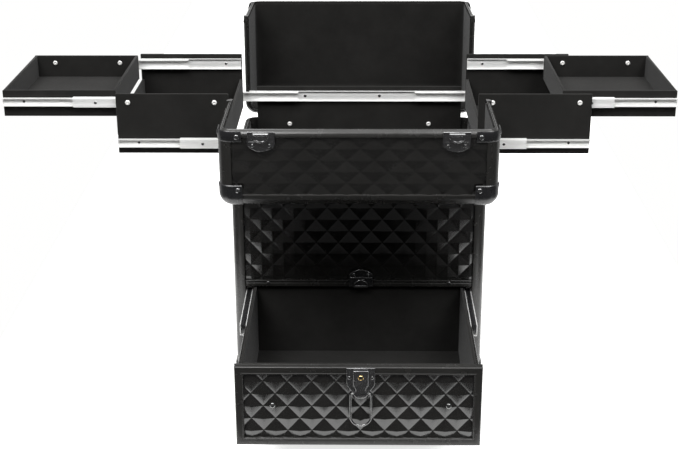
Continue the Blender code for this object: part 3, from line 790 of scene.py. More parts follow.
def slide_member(name, slot_node, body, kind, wall, facing, level, x_range, marks):
    """One rolled member. marks are the places along X and the radii of the screws or stops on its web."""
    web, edge, half = {
        "channel": (GAP, GAP + 0.0038, 0.0078),
        "middle": (0.0017, 0.0083, 0.0066),
        "inner": (0.0092, 0.0031, 0.0054),
    }[kind]
    sheet = 0.0008
    line = channel_line(web, edge, half)
    # the ribbon thickens to the left of its line, which has to be the section's inside
    outline = ribbon(line if edge < web else [(u, -v) for u, v in line], sheet)

    def at(p, t):
        return (t, wall - facing * p[0], level + p[1])

    mesh = prism(outline, at, x_range[0], x_range[1])
    add(name, mesh, ZINC, body, [slot_node], sharp=30)
    # the fixed and inner members are screwed on from their open side, the middle one has stops on its back
    bead = 0.0003
    out = 1 if edge > web else -1
    depth, turn = (web + bead, 1) if kind == "middle" else (web + out * (bead + sheet), -out)
    heads = bmesh.new()
    for x, radius in marks:
        append(heads, flat_head((x, wall - facing * depth, level), (0, facing * turn, 0), radius))
    add(f"{name}_screws", heads, PLATING, body)


def flat_head(centre, axis, radius):
    """A countersunk screw or a stop that stands just off the web."""
    profile = [(0, -0.0003), (radius, -0.0003), (radius, 0.0002), (radius * 0.8, 0.0005)]
    profile += [(radius * 0.42, 0.0005), (radius * 0.3, 0.0001), (0, 0.0001)]
    return turned(profile, centre, axis, 14)


LOWER_WALL = REAR - WALL - GAP - 0.0042
UPPER_WALL = REAR - 0.022 - 0.004
LOWER_LEVEL = BODY_TOP + 0.035
UPPER_LEVEL = BODY_TOP + 0.0872


def slides():
    for facing, place in ((-1, "front"), (1, "rear")):
        node_name = f"lower_channel_{place}"
        low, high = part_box(node_name)
        marks = [(x, 0.0022) for x in (-0.080, 0.030, 0.138)]
        slide_member(
            f"{node_name}_rolled", node_name, "carcass", "channel",
            facing * LOWER_WALL, facing, LOWER_LEVEL, (low.x, high.x), marks,
        )
        for hand, side in (("left", -1), ("right", 1)):
            specs = (
                ("lower_middle", f"lower_runner_{hand}", "middle", LOWER_WALL, LOWER_LEVEL),
                ("lower_inner", f"lower_tray_{hand}", "inner", LOWER_WALL, LOWER_LEVEL),
                ("upper_channel", f"lower_tray_{hand}", "channel", UPPER_WALL, UPPER_LEVEL),
                ("upper_middle", f"upper_runner_{hand}", "middle", UPPER_WALL, UPPER_LEVEL),
                ("upper_inner", f"upper_tray_{hand}", "inner", UPPER_WALL, UPPER_LEVEL),
            )
            for prefix, body, kind, wall, level in specs:
                node_name = f"{prefix}_{hand}_{place}"
                low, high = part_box(node_name)
                ends = (low.x, high.x) if side > 0 else (high.x, low.x)
                if kind == "inner":
                    marks = [(ends[1] - side * 0.028, 0.0019), (ends[0] + side * 0.020, 0.0019)]
                elif kind == "middle":
                    marks = [(ends[1] - side * 0.030, 0.0019)]
                else:
                    marks = [(ends[1] - side * 0.020, 0.0020), (ends[0] + side * 0.022, 0.0020)]
                slide_member(
                    f"{node_name}_rolled", node_name, body, kind,
                    facing * wall, facing, level, (low.x, high.x), marks,
                )


# ---- trays


def tray_box(low, high, wall, end_top, edge=0.0012):
    """Front, rear and end boards and a floor, each with its own soft edges. end_top is the end boards' height."""
    inset = 0.0004
    out = bmesh.new()
    floor_top = low.z + wall

    def soft(middle, along):
        return middle.z > floor_top + 0.004 or abs(along.z) > 0.9

    def upper(middle, along):
        return abs(along.z) < 0.5 and middle.z > floor_top + 0.004

    for y0, y1 in ((low.y, low.y + wall), (high.y - wall, high.y)):
        append(out, solid_box((low.x, y0, low.z), (high.x, y1, high.z), edge, 3, soft))
    for x0, x1 in ((low.x + inset, low.x + wall), (high.x - wall, high.x - inset)):
        append(
            out,
            solid_box((x0, low.y + wall - 0.0001, low.z + inset), (x1, high.y - wall + 0.0001, end_top), edge, 3, upper),
        )
    append(
        out,
        solid_box(
            (low.x + wall - 0.0001, low.y + wall - 0.0001, low.z + inset),
            (high.x - wall + 0.0001, high.y - wall + 0.0001, floor_top),
        ),
    )
    return out


def trays():
    for hand, side in (("left", -1), ("right", 1)):
        name = f"lower_tray_{hand}"
        low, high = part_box(name)
        add(
            f"{name}_flocked",
            tray_box(low, high, 0.004, BODY_TOP + 0.064),
            FLOCK, name, [name],
        )
        heads = bmesh.new()
        inner = low.x if side > 0 else high.x
        for along in (0.0183, 0.1320):
            x = inner + side * along
            z = BODY_TOP + 0.0895
            append(heads, pan_head((x, low.y, z), (0, -1, 0)))
            append(heads, pan_head((x, high.y, z), (0, 1, 0)))
        add(f"{name}_screws", heads, STEEL, name)
        name = f"upper_tray_{hand}"
        low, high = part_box(name)
        add(f"{name}_flocked", tray_box(low, high, 0.004, high.z), FLOCK, name, [name])
        heads = bmesh.new()
        inner = low.x if side > 0 else high.x
        for along in (0.0265, 0.1205):
            x = inner + side * along
            z = BODY_TOP + 0.0915
            append(heads, pan_head((x, high.y - 0.004, z), (0, -1, 0)))
            append(heads, pan_head((x, low.y + 0.004, z), (0, 1, 0)))
        add(f"{name}_screws", heads, STEEL, name)


# ---- lids


def lid(facing, body, prefix, depth, node_name):
    """One open lid. Local places: a along X, b out from the body, c up."""

    def world(a, b, c):
        return Vector((a, facing * (LID_NEAR + b), LID_FLOOR + c))

    reach = LID_REACH
    cap = 0.0285
    rim_height = 0.0095
    metal = bmesh.new()
    for sx in (-1, 1):
        # the posts at the far corners
        append(
            metal,
            prism(
                POST_PROFILE,
                lambda p, t, sx=sx: world(sx * (HALF - p[0]), reach - p[1], t),
                0.024,
                depth - rim_height + 0.0002,
            ),
        )
        # the bottom side rails
        append(
            metal,
            prism(
                POST_PROFILE,
                lambda p, t, sx=sx: world(sx * (HALF - p[0]), t, p[1]),
                0.0070,
                reach - cap + 0.002,
            ),
        )
    append(
        metal,
        prism(POST_PROFILE, lambda p, t: world(t, reach - p[0], p[1]), -HALF + cap - 0.002, HALF - cap + 0.002),
    )
    add(f"{prefix}_edges", metal, ALUMINIUM, body, [node_name], sharp=28)

    # the mouth's rim, and the one next to the body: tongue and groove extrusions
    mouth = [
        (0.0006, 0.0),
        (0.0, 0.0006),
        (0.0, 0.0028),
        (0.0005, 0.0032),
        (0.0005, 0.0038),
        (0.0001, 0.0041),
        (0.0003, 0.0047),
        (0.0036, 0.0088),
        (0.0042, 0.0091),
        (0.0046, 0.0089),
        (0.0046, 0.0074),
        (0.0054, 0.0074),
        (0.0054, 0.0088),
        (0.0058, 0.0094),
        (0.0064, 0.0094),
        (0.0068, 0.0088),
        (0.0068, 0.0),
    ]
    base = depth - rim_height
    rings = []
    for a, b, turn in lid_path(reach):
        ring = []
        for inset, height in mouth:
            r = RADIUS - inset
            ring.append(world(a + r * math.cos(turn), b + r * math.sin(turn), base + height))
        rings.append(ring)
    rims = rings_to_mesh(rings)
    rings = []
    lower = RADIUS
    path = [(HALF - lower, depth, 0.0)]
    path += [(HALF - lower, lower, math.radians(-d)) for d in range(0, 91, 9)]
    path += [(-HALF + lower, lower, math.radians(-d)) for d in range(90, 181, 9)]
    path += [(-HALF + lower, depth, math.radians(-180))]
    for a, c, turn in path:
        ring = []
        for inset, height in mouth:
            r = RADIUS - inset
            ring.append(world(a + r * math.cos(turn), rim_height - height, max(c + r * math.sin(turn), 0)))
        rings.append(ring)
    append(rims, rings_to_mesh(rings))
    add(f"{prefix}_rims", rims, ALUMINIUM, body, [node_name], sharp=28)

    # diamond sheets: far side, both ends and the bottom
    sheet = 0.0034
    left, right = -HALF + POST + GAP, HALF - POST - GAP
    low, high = POST + GAP, depth - rim_height - GAP
    wide, tall = right - left, high - low
    near, far = rim_height + GAP, reach - POST - GAP
    start = world(left if facing < 0 else right, reach - sheet, low)
    outward = Vector((0, facing, 0))
    along = Vector((-facing, 0, 0))
    far_side = diamonds(start, along, (0, 0, 1), outward, (wide, tall), LID_CELL, (wide / 2 + 0.002, 0.0135))
    bottom = diamonds(
        world(left if facing < 0 else right, near if facing > 0 else near, sheet),
        along,
        outward,
        (0, 0, -1),
        (wide, far - near),
        BODY_CELL,
        (wide / 2, 0.02),
    )
    parts = [far_side, bottom]
    for sx in (-1, 1):
        parts.append(
            diamonds(
                world(sx * (HALF - sheet), near, low),
                outward,
                (0, 0, 1),
                (sx, 0, 0),
                (far - near, tall),
                LID_CELL,
                ((far - near) / 2, 0.0135),
            )
        )
    add(f"{prefix}_sheets", combined(*parts), SHEET, body, [node_name], sharp=5)

    # lining boards
    t0, t1 = 0.0062, LID_WALL + 0.0006
    top = depth - 0.0042
    lining = bmesh.new()
    append(lining, lid_board(world, (-HALF + t0, reach - t0, t0), (HALF - t0, reach - t1, top)))
    append(lining, lid_board(world, (-HALF + t0, 0.004, t0), (HALF - t0, reach - t0, t1)))
    for sx in (-1, 1):
        append(lining, lid_board(world, (sx * (HALF - t0), 0.004, t0), (sx * (HALF - t1), reach - t0, top)))
    # the lining is drawn round the far corners
    bend = 0.0085
    corner = [(t1 - 0.0003, t1 - 0.0003), (t1 - 0.0003, t1 + bend)]
    corner += arc((t1 + bend, t1 + bend), bend, 180, 270, 8) + [(t1 + bend, t1 - 0.0003)]
    for sx in (-1, 1):
        append(
            lining,
            prism(corner, lambda p, t, sx=sx: world(sx * (HALF - p[0]), reach - p[1], t), t1, top),
        )
    append(lining, prism(corner, lambda p, t: world(t, reach - p[0], p[1]), -HALF + t1, HALF - t1))
    add(f"{prefix}_lining", lining, FLOCK, body, [node_name])

    lid_corners(world, facing, body, prefix, depth, node_name)


def lid_path(reach):
    """Centres and angles along the mouth: down one side, round the far corners and back."""
    path = [(HALF - RADIUS, 0.0, 0.0)]
    path += [(HALF - RADIUS, reach - RADIUS, math.radians(d)) for d in range(0, 91, 9)]
    path += [(-HALF + RADIUS, reach - RADIUS, math.radians(d)) for d in range(90, 181, 9)]
    path += [(-HALF + RADIUS, 0.0, math.radians(180))]
    return path


def lid_board(world, a, b):
    p, q = world(*a), world(*b)
    return sorted_box(p, q, 0.0005, 1)


def lid_corners(world, facing, body, prefix, depth, node_name):
    """Moulded caps on the two far bottom corners, brackets at the mouth's corners, and their rivets."""
    caps, heads = bmesh.new(), bmesh.new()
    reach = LID_REACH
    for sx in (-1, 1):
        append(caps, ball_corner(world, sx, reach))
        append(caps, mouth_bracket(world, sx, reach, depth))
        x = sx * 0.1465
        append(heads, rivet(world(x, reach + 0.0010, 0.0220), (0, facing, 0)))
        append(heads, rivet(world(x, reach + 0.0008, depth - 0.0085), (0, facing, 0)))
        append(heads, rivet(world(sx * (HALF + 0.0010), reach - 0.0235, 0.0220), (sx, 0, 0)))
        append(heads, rivet(world(sx * (HALF + 0.0008), reach - 0.0235, depth - 0.0085), (sx, 0, 0)))
    add(f"{prefix}_corner_caps", caps, CAP, body, [node_name], sharp=40)
    add(f"{prefix}_rivets", heads, PLATING, body)


def ball_corner(world, sx, reach, proud=0.0010, size=0.0285):
    """A cap whose three legs run from a rounded corner, with an ear on each upright face for its rivet."""
    r = RADIUS + proud
    ca, cb, cc = HALF - RADIUS, reach - RADIUS, RADIUS
    steps = 8

    def direction(theta, phi):
        """theta turns from the end face to the far face, phi from the upright faces to the bottom."""
        return (math.cos(theta) * math.cos(phi), math.sin(theta) * math.cos(phi), -math.sin(phi))

    mesh = bmesh.new()
    rows = []
    # from the upper edge of the upright legs, down round the bottom edge, to the underside
    stations = [("edge", size - 0.0002), ("up", size - 0.0012), ("up", 0.010)]
    stations += [("ball", 90 * k / steps) for k in range(steps + 1)]
    for kind, value in stations:
        row = []
        for column in cap_columns(size, steps):
            place, extra = column
            theta = math.radians(place)
            if kind == "ball":
                phi = math.radians(value)
                d = direction(theta, phi)
                radius = r
            else:
                d = direction(theta, 0)
                radius = r if kind == "up" else r - 0.0009
            a, b = ca + radius * d[0], cb + radius * d[1]
            c = cc + radius * d[2] if kind == "ball" else max(value, cc)
            if place == 0:
                b -= extra
            if place == 90:
                a -= extra
            row.append(mesh.verts.new(world(sx * a, b, c)))
        rows.append(row)
    for p, q in zip(rows, rows[1:]):
        for k in range(len(p) - 1):
            mesh.faces.new((p[k], p[k + 1], q[k + 1], q[k]))
    bmesh.ops.remove_doubles(mesh, verts=mesh.verts, dist=1e-6)
    shell_to_solid(mesh, 0.0012)
    return mesh


def cap_columns(size, steps):
    """Columns of a cap: out along the end face, round the corner, out along the far face."""
    reach = size - RADIUS
    out = [(0, reach), (0, reach - 0.001), (0, reach * 0.5)]
    out += [(90 * k / steps, 0.0) for k in range(steps + 1)]
    out += [(90, reach * 0.5), (90, reach - 0.001), (90, reach)]
    return out


def shell_to_solid(mesh, thickness):
    """Gives an open surface a thickness inwards."""
    bmesh.ops.recalc_face_normals(mesh, faces=mesh.faces)
    centre = sum((v.co for v in mesh.verts), Vector()) / len(mesh.verts)
    score = sum(f.normal.dot(f.calc_center_median() - centre) * f.calc_area() for f in mesh.faces)
    if score < 0:
        bmesh.ops.reverse_faces(mesh, faces=mesh.faces)
    mesh.normal_update()
    bmesh.ops.solidify(mesh, geom=mesh.faces[:], thickness=thickness)


def mouth_bracket(world, sx, reach, depth, proud=0.0008):
    """A bracket round the mouth's corner, just under its rim."""
    top, bottom = depth - 0.0012, depth - 0.0145
    r = RADIUS + proud
    ca, cb = HALF - RADIUS, reach - RADIUS
    mesh = bmesh.new()
    rows = []
    for c, shrink in ((top, 0.0006), (top - 0.0008, 0.0), (bottom + 0.0008, 0.0), (bottom, 0.0006)):
        row = []
        for place, extra in cap_columns(0.0290, 8):
            theta = math.radians(place)
            a = ca + (r - shrink) * math.cos(theta)
            b = cb + (r - shrink) * math.sin(theta)
            if place == 0:
                b -= extra
            if place == 90:
                a -= extra
            row.append(mesh.verts.new(world(sx * a, b, c)))
        rows.append(row)
    for p, q in zip(rows, rows[1:]):
        for k in range(len(p) - 1):
            mesh.faces.new((p[k], p[k + 1], q[k + 1], q[k]))
    shell_to_solid(mesh, 0.0012)
    return mesh


# ---- the drawer


def drawer():
    half, bar = 0.1495, 0.0105
    face = DRAWER_FACE
    # (inset from the outer edge, depth behind the face)
    profile = [
        (0.0002, 0.0016),
        (0.0004, 0.0010),
        (0.0009, 0.0004),
        (0.0016, 0.0001),
        (0.0022, 0.0),
        (bar - 0.0022, 0.0),
        (bar - 0.0019, -0.0004),
        (bar - 0.0013, -0.0006),
        (bar - 0.0006, -0.0004),
        (bar - 0.0001, 0.0002),
        (bar, 0.0010),
        (bar, 0.0040),
        (bar - 0.0030, 0.0040),
        (bar - 0.0030, 0.0100),
        (0.0004, 0.0100),
        (0.0, 0.0094),
        (0.0, 0.0080),
        (0.0008, 0.0074),
        (0.0016, 0.0070),
        (0.0016, 0.0034),
        (0.0006, 0.0028),
        (0.0002, 0.0022),
    ]
    corners = ((-half, DRAWER_BOTTOM, 1, 1), (half, DRAWER_BOTTOM, -1, 1))
    corners += ((half, DRAWER_TOP, -1, -1), (-half, DRAWER_TOP, 1, -1))
    rings = [[(x + sx * i, face + d, z + sz * i) for i, d in profile] for x, z, sx, sz in corners]
    mesh = rings_to_mesh(rings, closed_path=True)
    add("drawer_frame_bars", mesh, ALUMINIUM, "drawer", ["drawer_front_frame"], sharp=28)
    edge = bar + 0.0001
    wide, tall = 2 * (half - edge), DRAWER_TOP - DRAWER_BOTTOM - 2 * edge
    mesh = diamonds(
        (-half + edge, face + 0.0036, DRAWER_BOTTOM + edge),
        (1, 0, 0),
        (0, 0, 1),
        (0, -1, 0),
        (wide, tall),
        (0.0295, 0.0334),
        (wide / 2 + 0.0026, 0.0255),
    )
    add("drawer_front_sheet", mesh, SHEET, "drawer", ["drawer_front_panel"], sharp=5)
    heads = bmesh.new()
    for x in (-0.104, 0.1095):
        append(heads, pan_head((x, face + 0.0014, 0.1085), (0, -1, 0), 0.0036, 0.0020))
    add("drawer_front_screws", heads, PLATING, "drawer")
    back = solid_box((-half + 0.004, face + 0.0068, DRAWER_BOTTOM + 0.004), (half - 0.004, face + 0.0098, DRAWER_TOP - 0.004))
    add("drawer_front_board", back, BOARD, "drawer")

    box_half = 0.143
    start, end = face + 0.0103, face + 0.2448
    bottom, top = DRAWER_BOTTOM + 0.004, DRAWER_BOTTOM + 0.1065
    walls = tray_box(Vector((-box_half, start, bottom)), Vector((box_half, end, top)), 0.004, top, 0.0014)
    add("drawer_box_lined", walls, FLOCK, "drawer", ["drawer_box"])
    drawer_slides(box_half)


def drawer_slides(box_half):
    level, sheet = 0.148, 0.0012
    rails = bmesh.new()
    for side, hand in ((-1, "left"), (1, "right")):
        for kind, skin, body in (("channel", ZINC, "carcass"), ("middle", ZINC, "drawer_runner")):
            name = f"drawer_{kind}_{hand}"
            low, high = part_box(name)
            outer, inner = (high.x, low.x) if side > 0 else (low.x, high.x)
            half = (high.z - low.z) / 2
            if kind == "channel":
                web = side * 0.1540
                strip = sorted_box((outer, low.y + 0.001, level - 0.008), (web + side * 0.0002, high.y, level + 0.008), 0.0004)
                add(f"{name}_packing", strip, BOARD, "carcass", [name])
            else:
                web = outer
            line = c_line(web, inner, half, side)
            if kind == "middle":
                line = [(web, half), (web, -half), (inner, -half), (inner, half)]
                line = line if side > 0 else line[::-1]

            def at(p, t):
                return (p[0], t, level + p[1])

            mesh = prism(ribbon(line, sheet * 0.8), at, low.y, high.y)
            if kind == "middle":
                cage = sorted_box(
                    (outer - side * 0.0012, low.y + 0.003, level - half + 0.0012),
                    (inner + side * 0.0012, high.y - 0.003, level + half - 0.0010),
                    0.0003,
                )
                add(f"{name}_ball_cage", cage, CAP, body)
            add(f"{name}_rolled", mesh, skin, body, [name], sharp=30)
        inner_web, edge = side * (box_half + 0.0002), side * 0.1466
        line = c_line(inner_web, edge, 0.0053, -side)

        def at_rail(p, t):
            return (p[0], t, level + p[1])

        append(rails, prism(ribbon(line, 0.0008), at_rail, DRAWER_FACE + 0.0115, DRAWER_FACE + 0.2165))
    add("drawer_inner_rails", rails, ALUMINIUM, "drawer", ["drawer_box"], sharp=30)


def c_line(web, edge, half, side):
    """A rolled C section for a slide that runs front to back. It is thickened towards its inside."""
    out = 1 if edge > web else -1
    points = [
        (edge - out * 0.0004, -half + 0.0016),
        (edge, -half + 0.0009),
        (edge - out * 0.0007, -half + 0.0001),
        (edge - out * 0.0014, -half),
        (web + out * 0.0014, -half),
        (web + out * 0.0004, -half + 0.0004),
        (web, -half + 0.0014),
    ]
    whole = points + [(u, -v) for u, v in reversed(points)]
    return whole if out < 0 else whole[::-1]


# ---- latches, keepers, handle


def dish_plate(outline, face, facing, x0, z0, thickness=0.0015, border=0.0013, raised=0.0006, edge=0.0007):
    """A stamped plate with a raised border. outline is (x, z) about (x0, z0), counter-clockwise."""

    def shrink(points, amount):
        count = len(points)
        out = []
        for k, p in enumerate(points):
            a, b = Vector(points[k - 1]), Vector(points[(k + 1) % count])
            here = Vector(p)
            d0, d1 = (here - a).normalized(), (b - here).normalized()
            n0, n1 = Vector((-d0.y, d0.x)), Vector((-d1.y, d1.x))
            n = (n0 + n1).normalized()
            out.append(tuple(here + n * amount / max(n.dot(n0), 0.45)))
        return out

    rings = []
    for points, height in (
        (outline, 0.0),
        (outline, thickness - edge),
        (shrink(outline, edge * 0.13), thickness - edge * 0.5),
        (shrink(outline, edge * 0.5), thickness - edge * 0.13),
        (shrink(outline, edge), thickness),
        (shrink(outline, border), thickness),
        (shrink(outline, border + 0.0004), thickness - raised),
    ):
        rings.append([(x0 + x, face + facing * height, z0 + z) for x, z in points])
    return rings_to_mesh(rings)


def latch_outline():
    """The latch plate: square shoulders above, slanting in to a narrow foot."""
    points = [(-0.0170, 0.0), (-0.0170, -0.0205)]
    points += [(-0.0166, -0.0228), (-0.0155, -0.0250), (-0.0110, -0.0312), (-0.0095, -0.0328), (-0.0078, -0.0335)]
    points += [(-x, z) for x, z in reversed(points)]
    return points


def draw_latch(prefix, node_prefix, x, face, facing, top, plate_body, lever_body, loop_body):
    stand = face + facing * GAP
    outline = latch_outline()
    plate = dish_plate(outline, stand, facing, x, top)
    add(f"{prefix}_plate_stamped", plate, PLATING, plate_body, [f"{node_prefix}_plate"])
    heads = bmesh.new()
    for sx in (-1, 1):
        append(heads, pan_head((x + sx * 0.0136, stand + facing * 0.0009, top - 0.0130), (0, facing, 0), 0.0021, 0.0012))
    add(f"{prefix}_plate_screws", heads, PLATING, plate_body)

    back = face + facing * 0.0021
    front = back + facing * 0.0058
    lock_top = top - 0.0010
    bottom = lock_top - 0.0215

    def outer(middle, along):
        return (middle.y - (back + front) / 2) * facing > 0.0001 or abs(along.y) > 0.9

    case = sorted_box((x - 0.0092, back, bottom), (x + 0.0092, front - facing * 0.0006, lock_top), 0.0010, 4, outer)
    add(f"{prefix}_lock_case", case, PLATING, lever_body, [f"{node_prefix}_lever"])
    tab = tab_mesh(x, front, facing, bottom)
    add(f"{prefix}_tab", tab, PLATING, lever_body, [f"{node_prefix}_lever"])
    y = front - facing * 0.0010
    cylinder = turned(
        [(0, -0.0008), (0.0033, -0.0008), (0.0033, 0.0004), (0.0030, 0.0007), (0.0024, 0.0007), (0.0022, 0.0004)]
        + [(0.0011, 0.0004), (0.0009, -0.0002), (0, -0.0002)],
        (x, y, lock_top - 0.0095),
        (0, facing, 0),
        28,
    )
    add(f"{prefix}_key_cylinder", cylinder, BRASS, lever_body)

    wire_y = back + facing * 0.0016
    wire_z = bottom - 0.0104
    half = 0.0275 / 2 - 0.0013
    low = wire_z - 0.0440 + half
    points = []
    bend = 0.0022
    corner = arc((x - half + bend, wire_z - bend), bend, 90, 180, 4)
    points += corner
    points += [(x - half, wire_z - 0.012), (x - half, low + 0.006)]
    points += arc((x, low), half, 180, 360, 18)
    points += [(x + half, low + 0.006), (x + half, wire_z - 0.012)]
    points += arc((x + half - bend, wire_z - bend), bend, 0, 90, 4)
    points += [(x + 0.004, wire_z), (x - 0.004, wire_z)]
    loop = tube([(px, wire_y, pz) for px, pz in points], 0.0013, closed=True, sides=12)
    add(f"{prefix}_wire", loop, PLATING, loop_body, [f"{node_prefix}_loop"], sharp=60)


def tab_mesh(x, front, facing, bottom):
    """The lever's finger tab: waisted at the top, round at the bottom, with a rolled border."""
    left = [(-0.0073, 0.0020), (-0.0073, -0.0016), (-0.0065, -0.0030), (-0.0061, -0.0046), (-0.0064, -0.0066)]
    left += [(-0.0074, -0.0086), (-0.0086, -0.0102)]
    outline = left + [(px, pz) for px, pz in arc((0, -0.00672), 0.00928, 206, 334, 14)]
    outline += [(-px, pz) for px, pz in reversed(left)]
    return dish_plate(outline, front - facing * 0.0026, facing, x, bottom, 0.0022, 0.0017, 0.0007, 0.0010)


def keeper(prefix, node_name, x, face, facing, edge, upward, body):
    """A keeper plate with an arched far side, a rounded bar at the split edge and a half-round tongue."""
    stand = face + facing * GAP
    half = 0.0165

    def flipped(points):
        points = [(px, pz * upward) for px, pz in points]
        return points if upward > 0 else points[::-1]

    points = [(-half, 0.0), (-half, -0.0150), (-half + 0.0006, -0.0172)]
    points += [(px, pz) for px, pz in arc((0, -0.0035), 0.0215, 222, 318, 12)]
    points += [(half - 0.0006, -0.0172), (half, -0.0150), (half, 0.0)]
    plate = dish_plate(flipped(points), stand, facing, x, edge)
    rib_z = sorted((edge - upward * 0.0122, edge - upward * 0.0134))
    rib = sorted_box(
        (x - 0.0150, stand + facing * 0.0006, rib_z[0]), (x + 0.0150, stand + facing * 0.0020, rib_z[1]), 0.0005
    )
    append(plate, rib)
    add(f"{prefix}_stamped", plate, PLATING, body, [node_name])
    r = 0.0095
    points = [(-r, -0.0016), (-r, -0.0040)]
    points += [(r * math.cos(t), -0.0040 + 0.0085 * math.sin(t)) for t in (math.pi * (1 + k / 16) for k in range(1, 16))]
    points += [(r, -0.0040), (r, -0.0016)]
    hook = dish_plate(flipped(points), stand + facing * 0.0052, facing, x, edge, 0.0024, 0.0019, 0.0008, 0.0011)
    bar = [(0, -0.0097), (0.0016, -0.0097), (0.0023, -0.0090), (0.0023, 0.0090), (0.0016, 0.0097), (0, 0.0097)]
    append(hook, turned(bar, (x, stand + facing * 0.0054, edge - upward * 0.0026), (1, 0, 0), 20))
    legs_z = sorted((edge - upward * 0.0012, edge - upward * 0.0042))
    for sx in (-1, 1):
        ends = sorted((x + sx * 0.0066, x + sx * 0.0092))
        append(
            hook,
            sorted_box((ends[0], stand + facing * 0.0008, legs_z[0]), (ends[1], stand + facing * 0.0058, legs_z[1]), 0.0004),
        )
    add(f"{prefix}_hook", hook, PLATING, body, [node_name])
    heads = bmesh.new()
    for sx in (-1, 1):
        z = edge - upward * 0.0174
        append(heads, pan_head((x + sx * 0.0098, stand + facing * 0.0009, z), (0, facing, 0), 0.0024, 0.0014))
    add(f"{prefix}_screws", heads, PLATING, body)


def handle():
    face = LID_NEAR + LID_REACH
    span = 0.056
    lug = span + 0.0052 + 0.0006
    reach, level = lug + 0.008, LID_FLOOR + 0.095
    low, high = Vector((-reach, face + GAP, level - 0.010)), Vector((reach, face + GAP + 0.002, level + 0.010))
    mesh = solid_box(low, high, 0.0007, 2)
    axis_y, axis_z = face + GAP + 0.002 + 0.0052 + 0.0018, level
    for side in (-1, 1):
        x0, x1 = sorted((side * lug, side * (lug + 0.005)))
        outline = [(low.y + 0.0005, axis_z - 0.007), (axis_y, axis_z - 0.007)]
        outline += [(py, pz) for py, pz in arc((axis_y - 0.0005, axis_z), 0.0062, -80, 80, 8)]
        outline += [(axis_y, axis_z + 0.007), (low.y + 0.0005, axis_z + 0.007)]
        lug_mesh = prism(outline, lambda p, t: (t, p[0], p[1]), x0, x1)
        append(mesh, lug_mesh)
        append(mesh, turned([(0, 0), (0.0026, 0), (0.0026, 0.0006), (0.0018, 0.0012), (0, 0.0012)], (side * (lug + 0.005), axis_y, axis_z), (side, 0, 0), 18))
    add("carry_handle_base_lugs", mesh, PLATING, "rear_lid", ["carry_handle_base"])
    heads = bmesh.new()
    for x in (-0.046, -0.016, 0.016, 0.046):
        append(heads, pan_head((x, low.y + 0.002, axis_z), (0, 1, 0), 0.0026, 0.0008))
    add("carry_handle_screws", heads, PLATING, "rear_lid")
    bend = 0.016
    drop = 0.040
    bottom = axis_z - drop
    path = [(-span, axis_z + 0.0035), (-span, axis_z - 0.004), (-span, axis_z - 0.014)]
    path += arc((-span + bend, bottom + bend), bend, 180, 270, 8)
    grip = [(-0.034 + 0.068 * k / 14, bottom) for k in range(15)]
    path += grip
    path += arc((span - bend, bottom + bend), bend, 270, 360, 8)
    path += [(span, axis_z - 0.014), (span, axis_z - 0.004), (span, axis_z + 0.0035)]
    points = [Vector((px, axis_y, pz)) for px, pz in path]
    rings = []
    count = len(points)
    for k, here in enumerate(points):
        before, after = points[max(k - 1, 0)], points[min(k + 1, count - 1)]
        along = (after - before).normalized()
        across = along.cross(Vector((0, 1, 0))).normalized()
        middle = abs(here.x) < 0.035 and here.z < bottom + 0.001
        swell = 1.0 if middle and k % 2 else (0.94 if middle else 0.90)
        ring = []
        for step in range(16):
            angle = 2 * math.pi * step / 16
            ring.append(
                here + 0.0052 * swell * (math.cos(angle) * across + 0.98 * math.sin(angle) * Vector((0, 1, 0)))
            )
        rings.append(ring)
    add("carry_handle_bail", rings_to_mesh(rings), GRIP, "carry_handle", ["carry_handle"], sharp=50)


def hardware():
    rear_face = LID_NEAR + LID_REACH
    for side, hand in ((-1, "left"), (1, "right")):
        x = side * 0.117
        draw_latch(
            f"lid_latch_{hand}",
            f"lid_latch_{hand}",
            x,
            rear_face,
            1,
            LID_FLOOR + 0.147 - 0.0015,
            "rear_lid",
            f"lid_latch_lever_{hand}",
            f"lid_latch_loop_{hand}",
        )
        name = f"lid_keeper_{hand}"
        keeper(name, name, x, -rear_face, -1, LID_FLOOR + 0.098 - 0.0015, 1, "front_lid")
    draw_latch(
        "drawer_latch",
        "drawer_latch",
        LATCH_X,
        DRAWER_FACE,
        -1,
        DRAWER_TOP - 0.0005,
        "drawer",
        "drawer_latch_lever",
        "drawer_latch_loop",
    )
    keeper("drawer_keeper", "drawer_keeper", LATCH_X, FRONT, -1, RAIL_BOTTOM + 0.001, -1, "carcass")
    handle()


# ---- stage


def area_light(name, place, aim, size, power, colour=(1, 1, 1)):
    data = bpy.data.lights.new(name, "AREA")
    data.shape = "RECTANGLE"
    data.size, data.size_y = size
    data.energy = power
    data.color = colour
    lamp = bpy.data.objects.new(name, data)
    lamp.location = place
    lamp.rotation_mode = "QUATERNION"
    lamp.rotation_quaternion = (Vector(place) - Vector(aim)).to_track_quat("Z", "Y")
    bpy.context.scene.collection.objects.link(lamp)


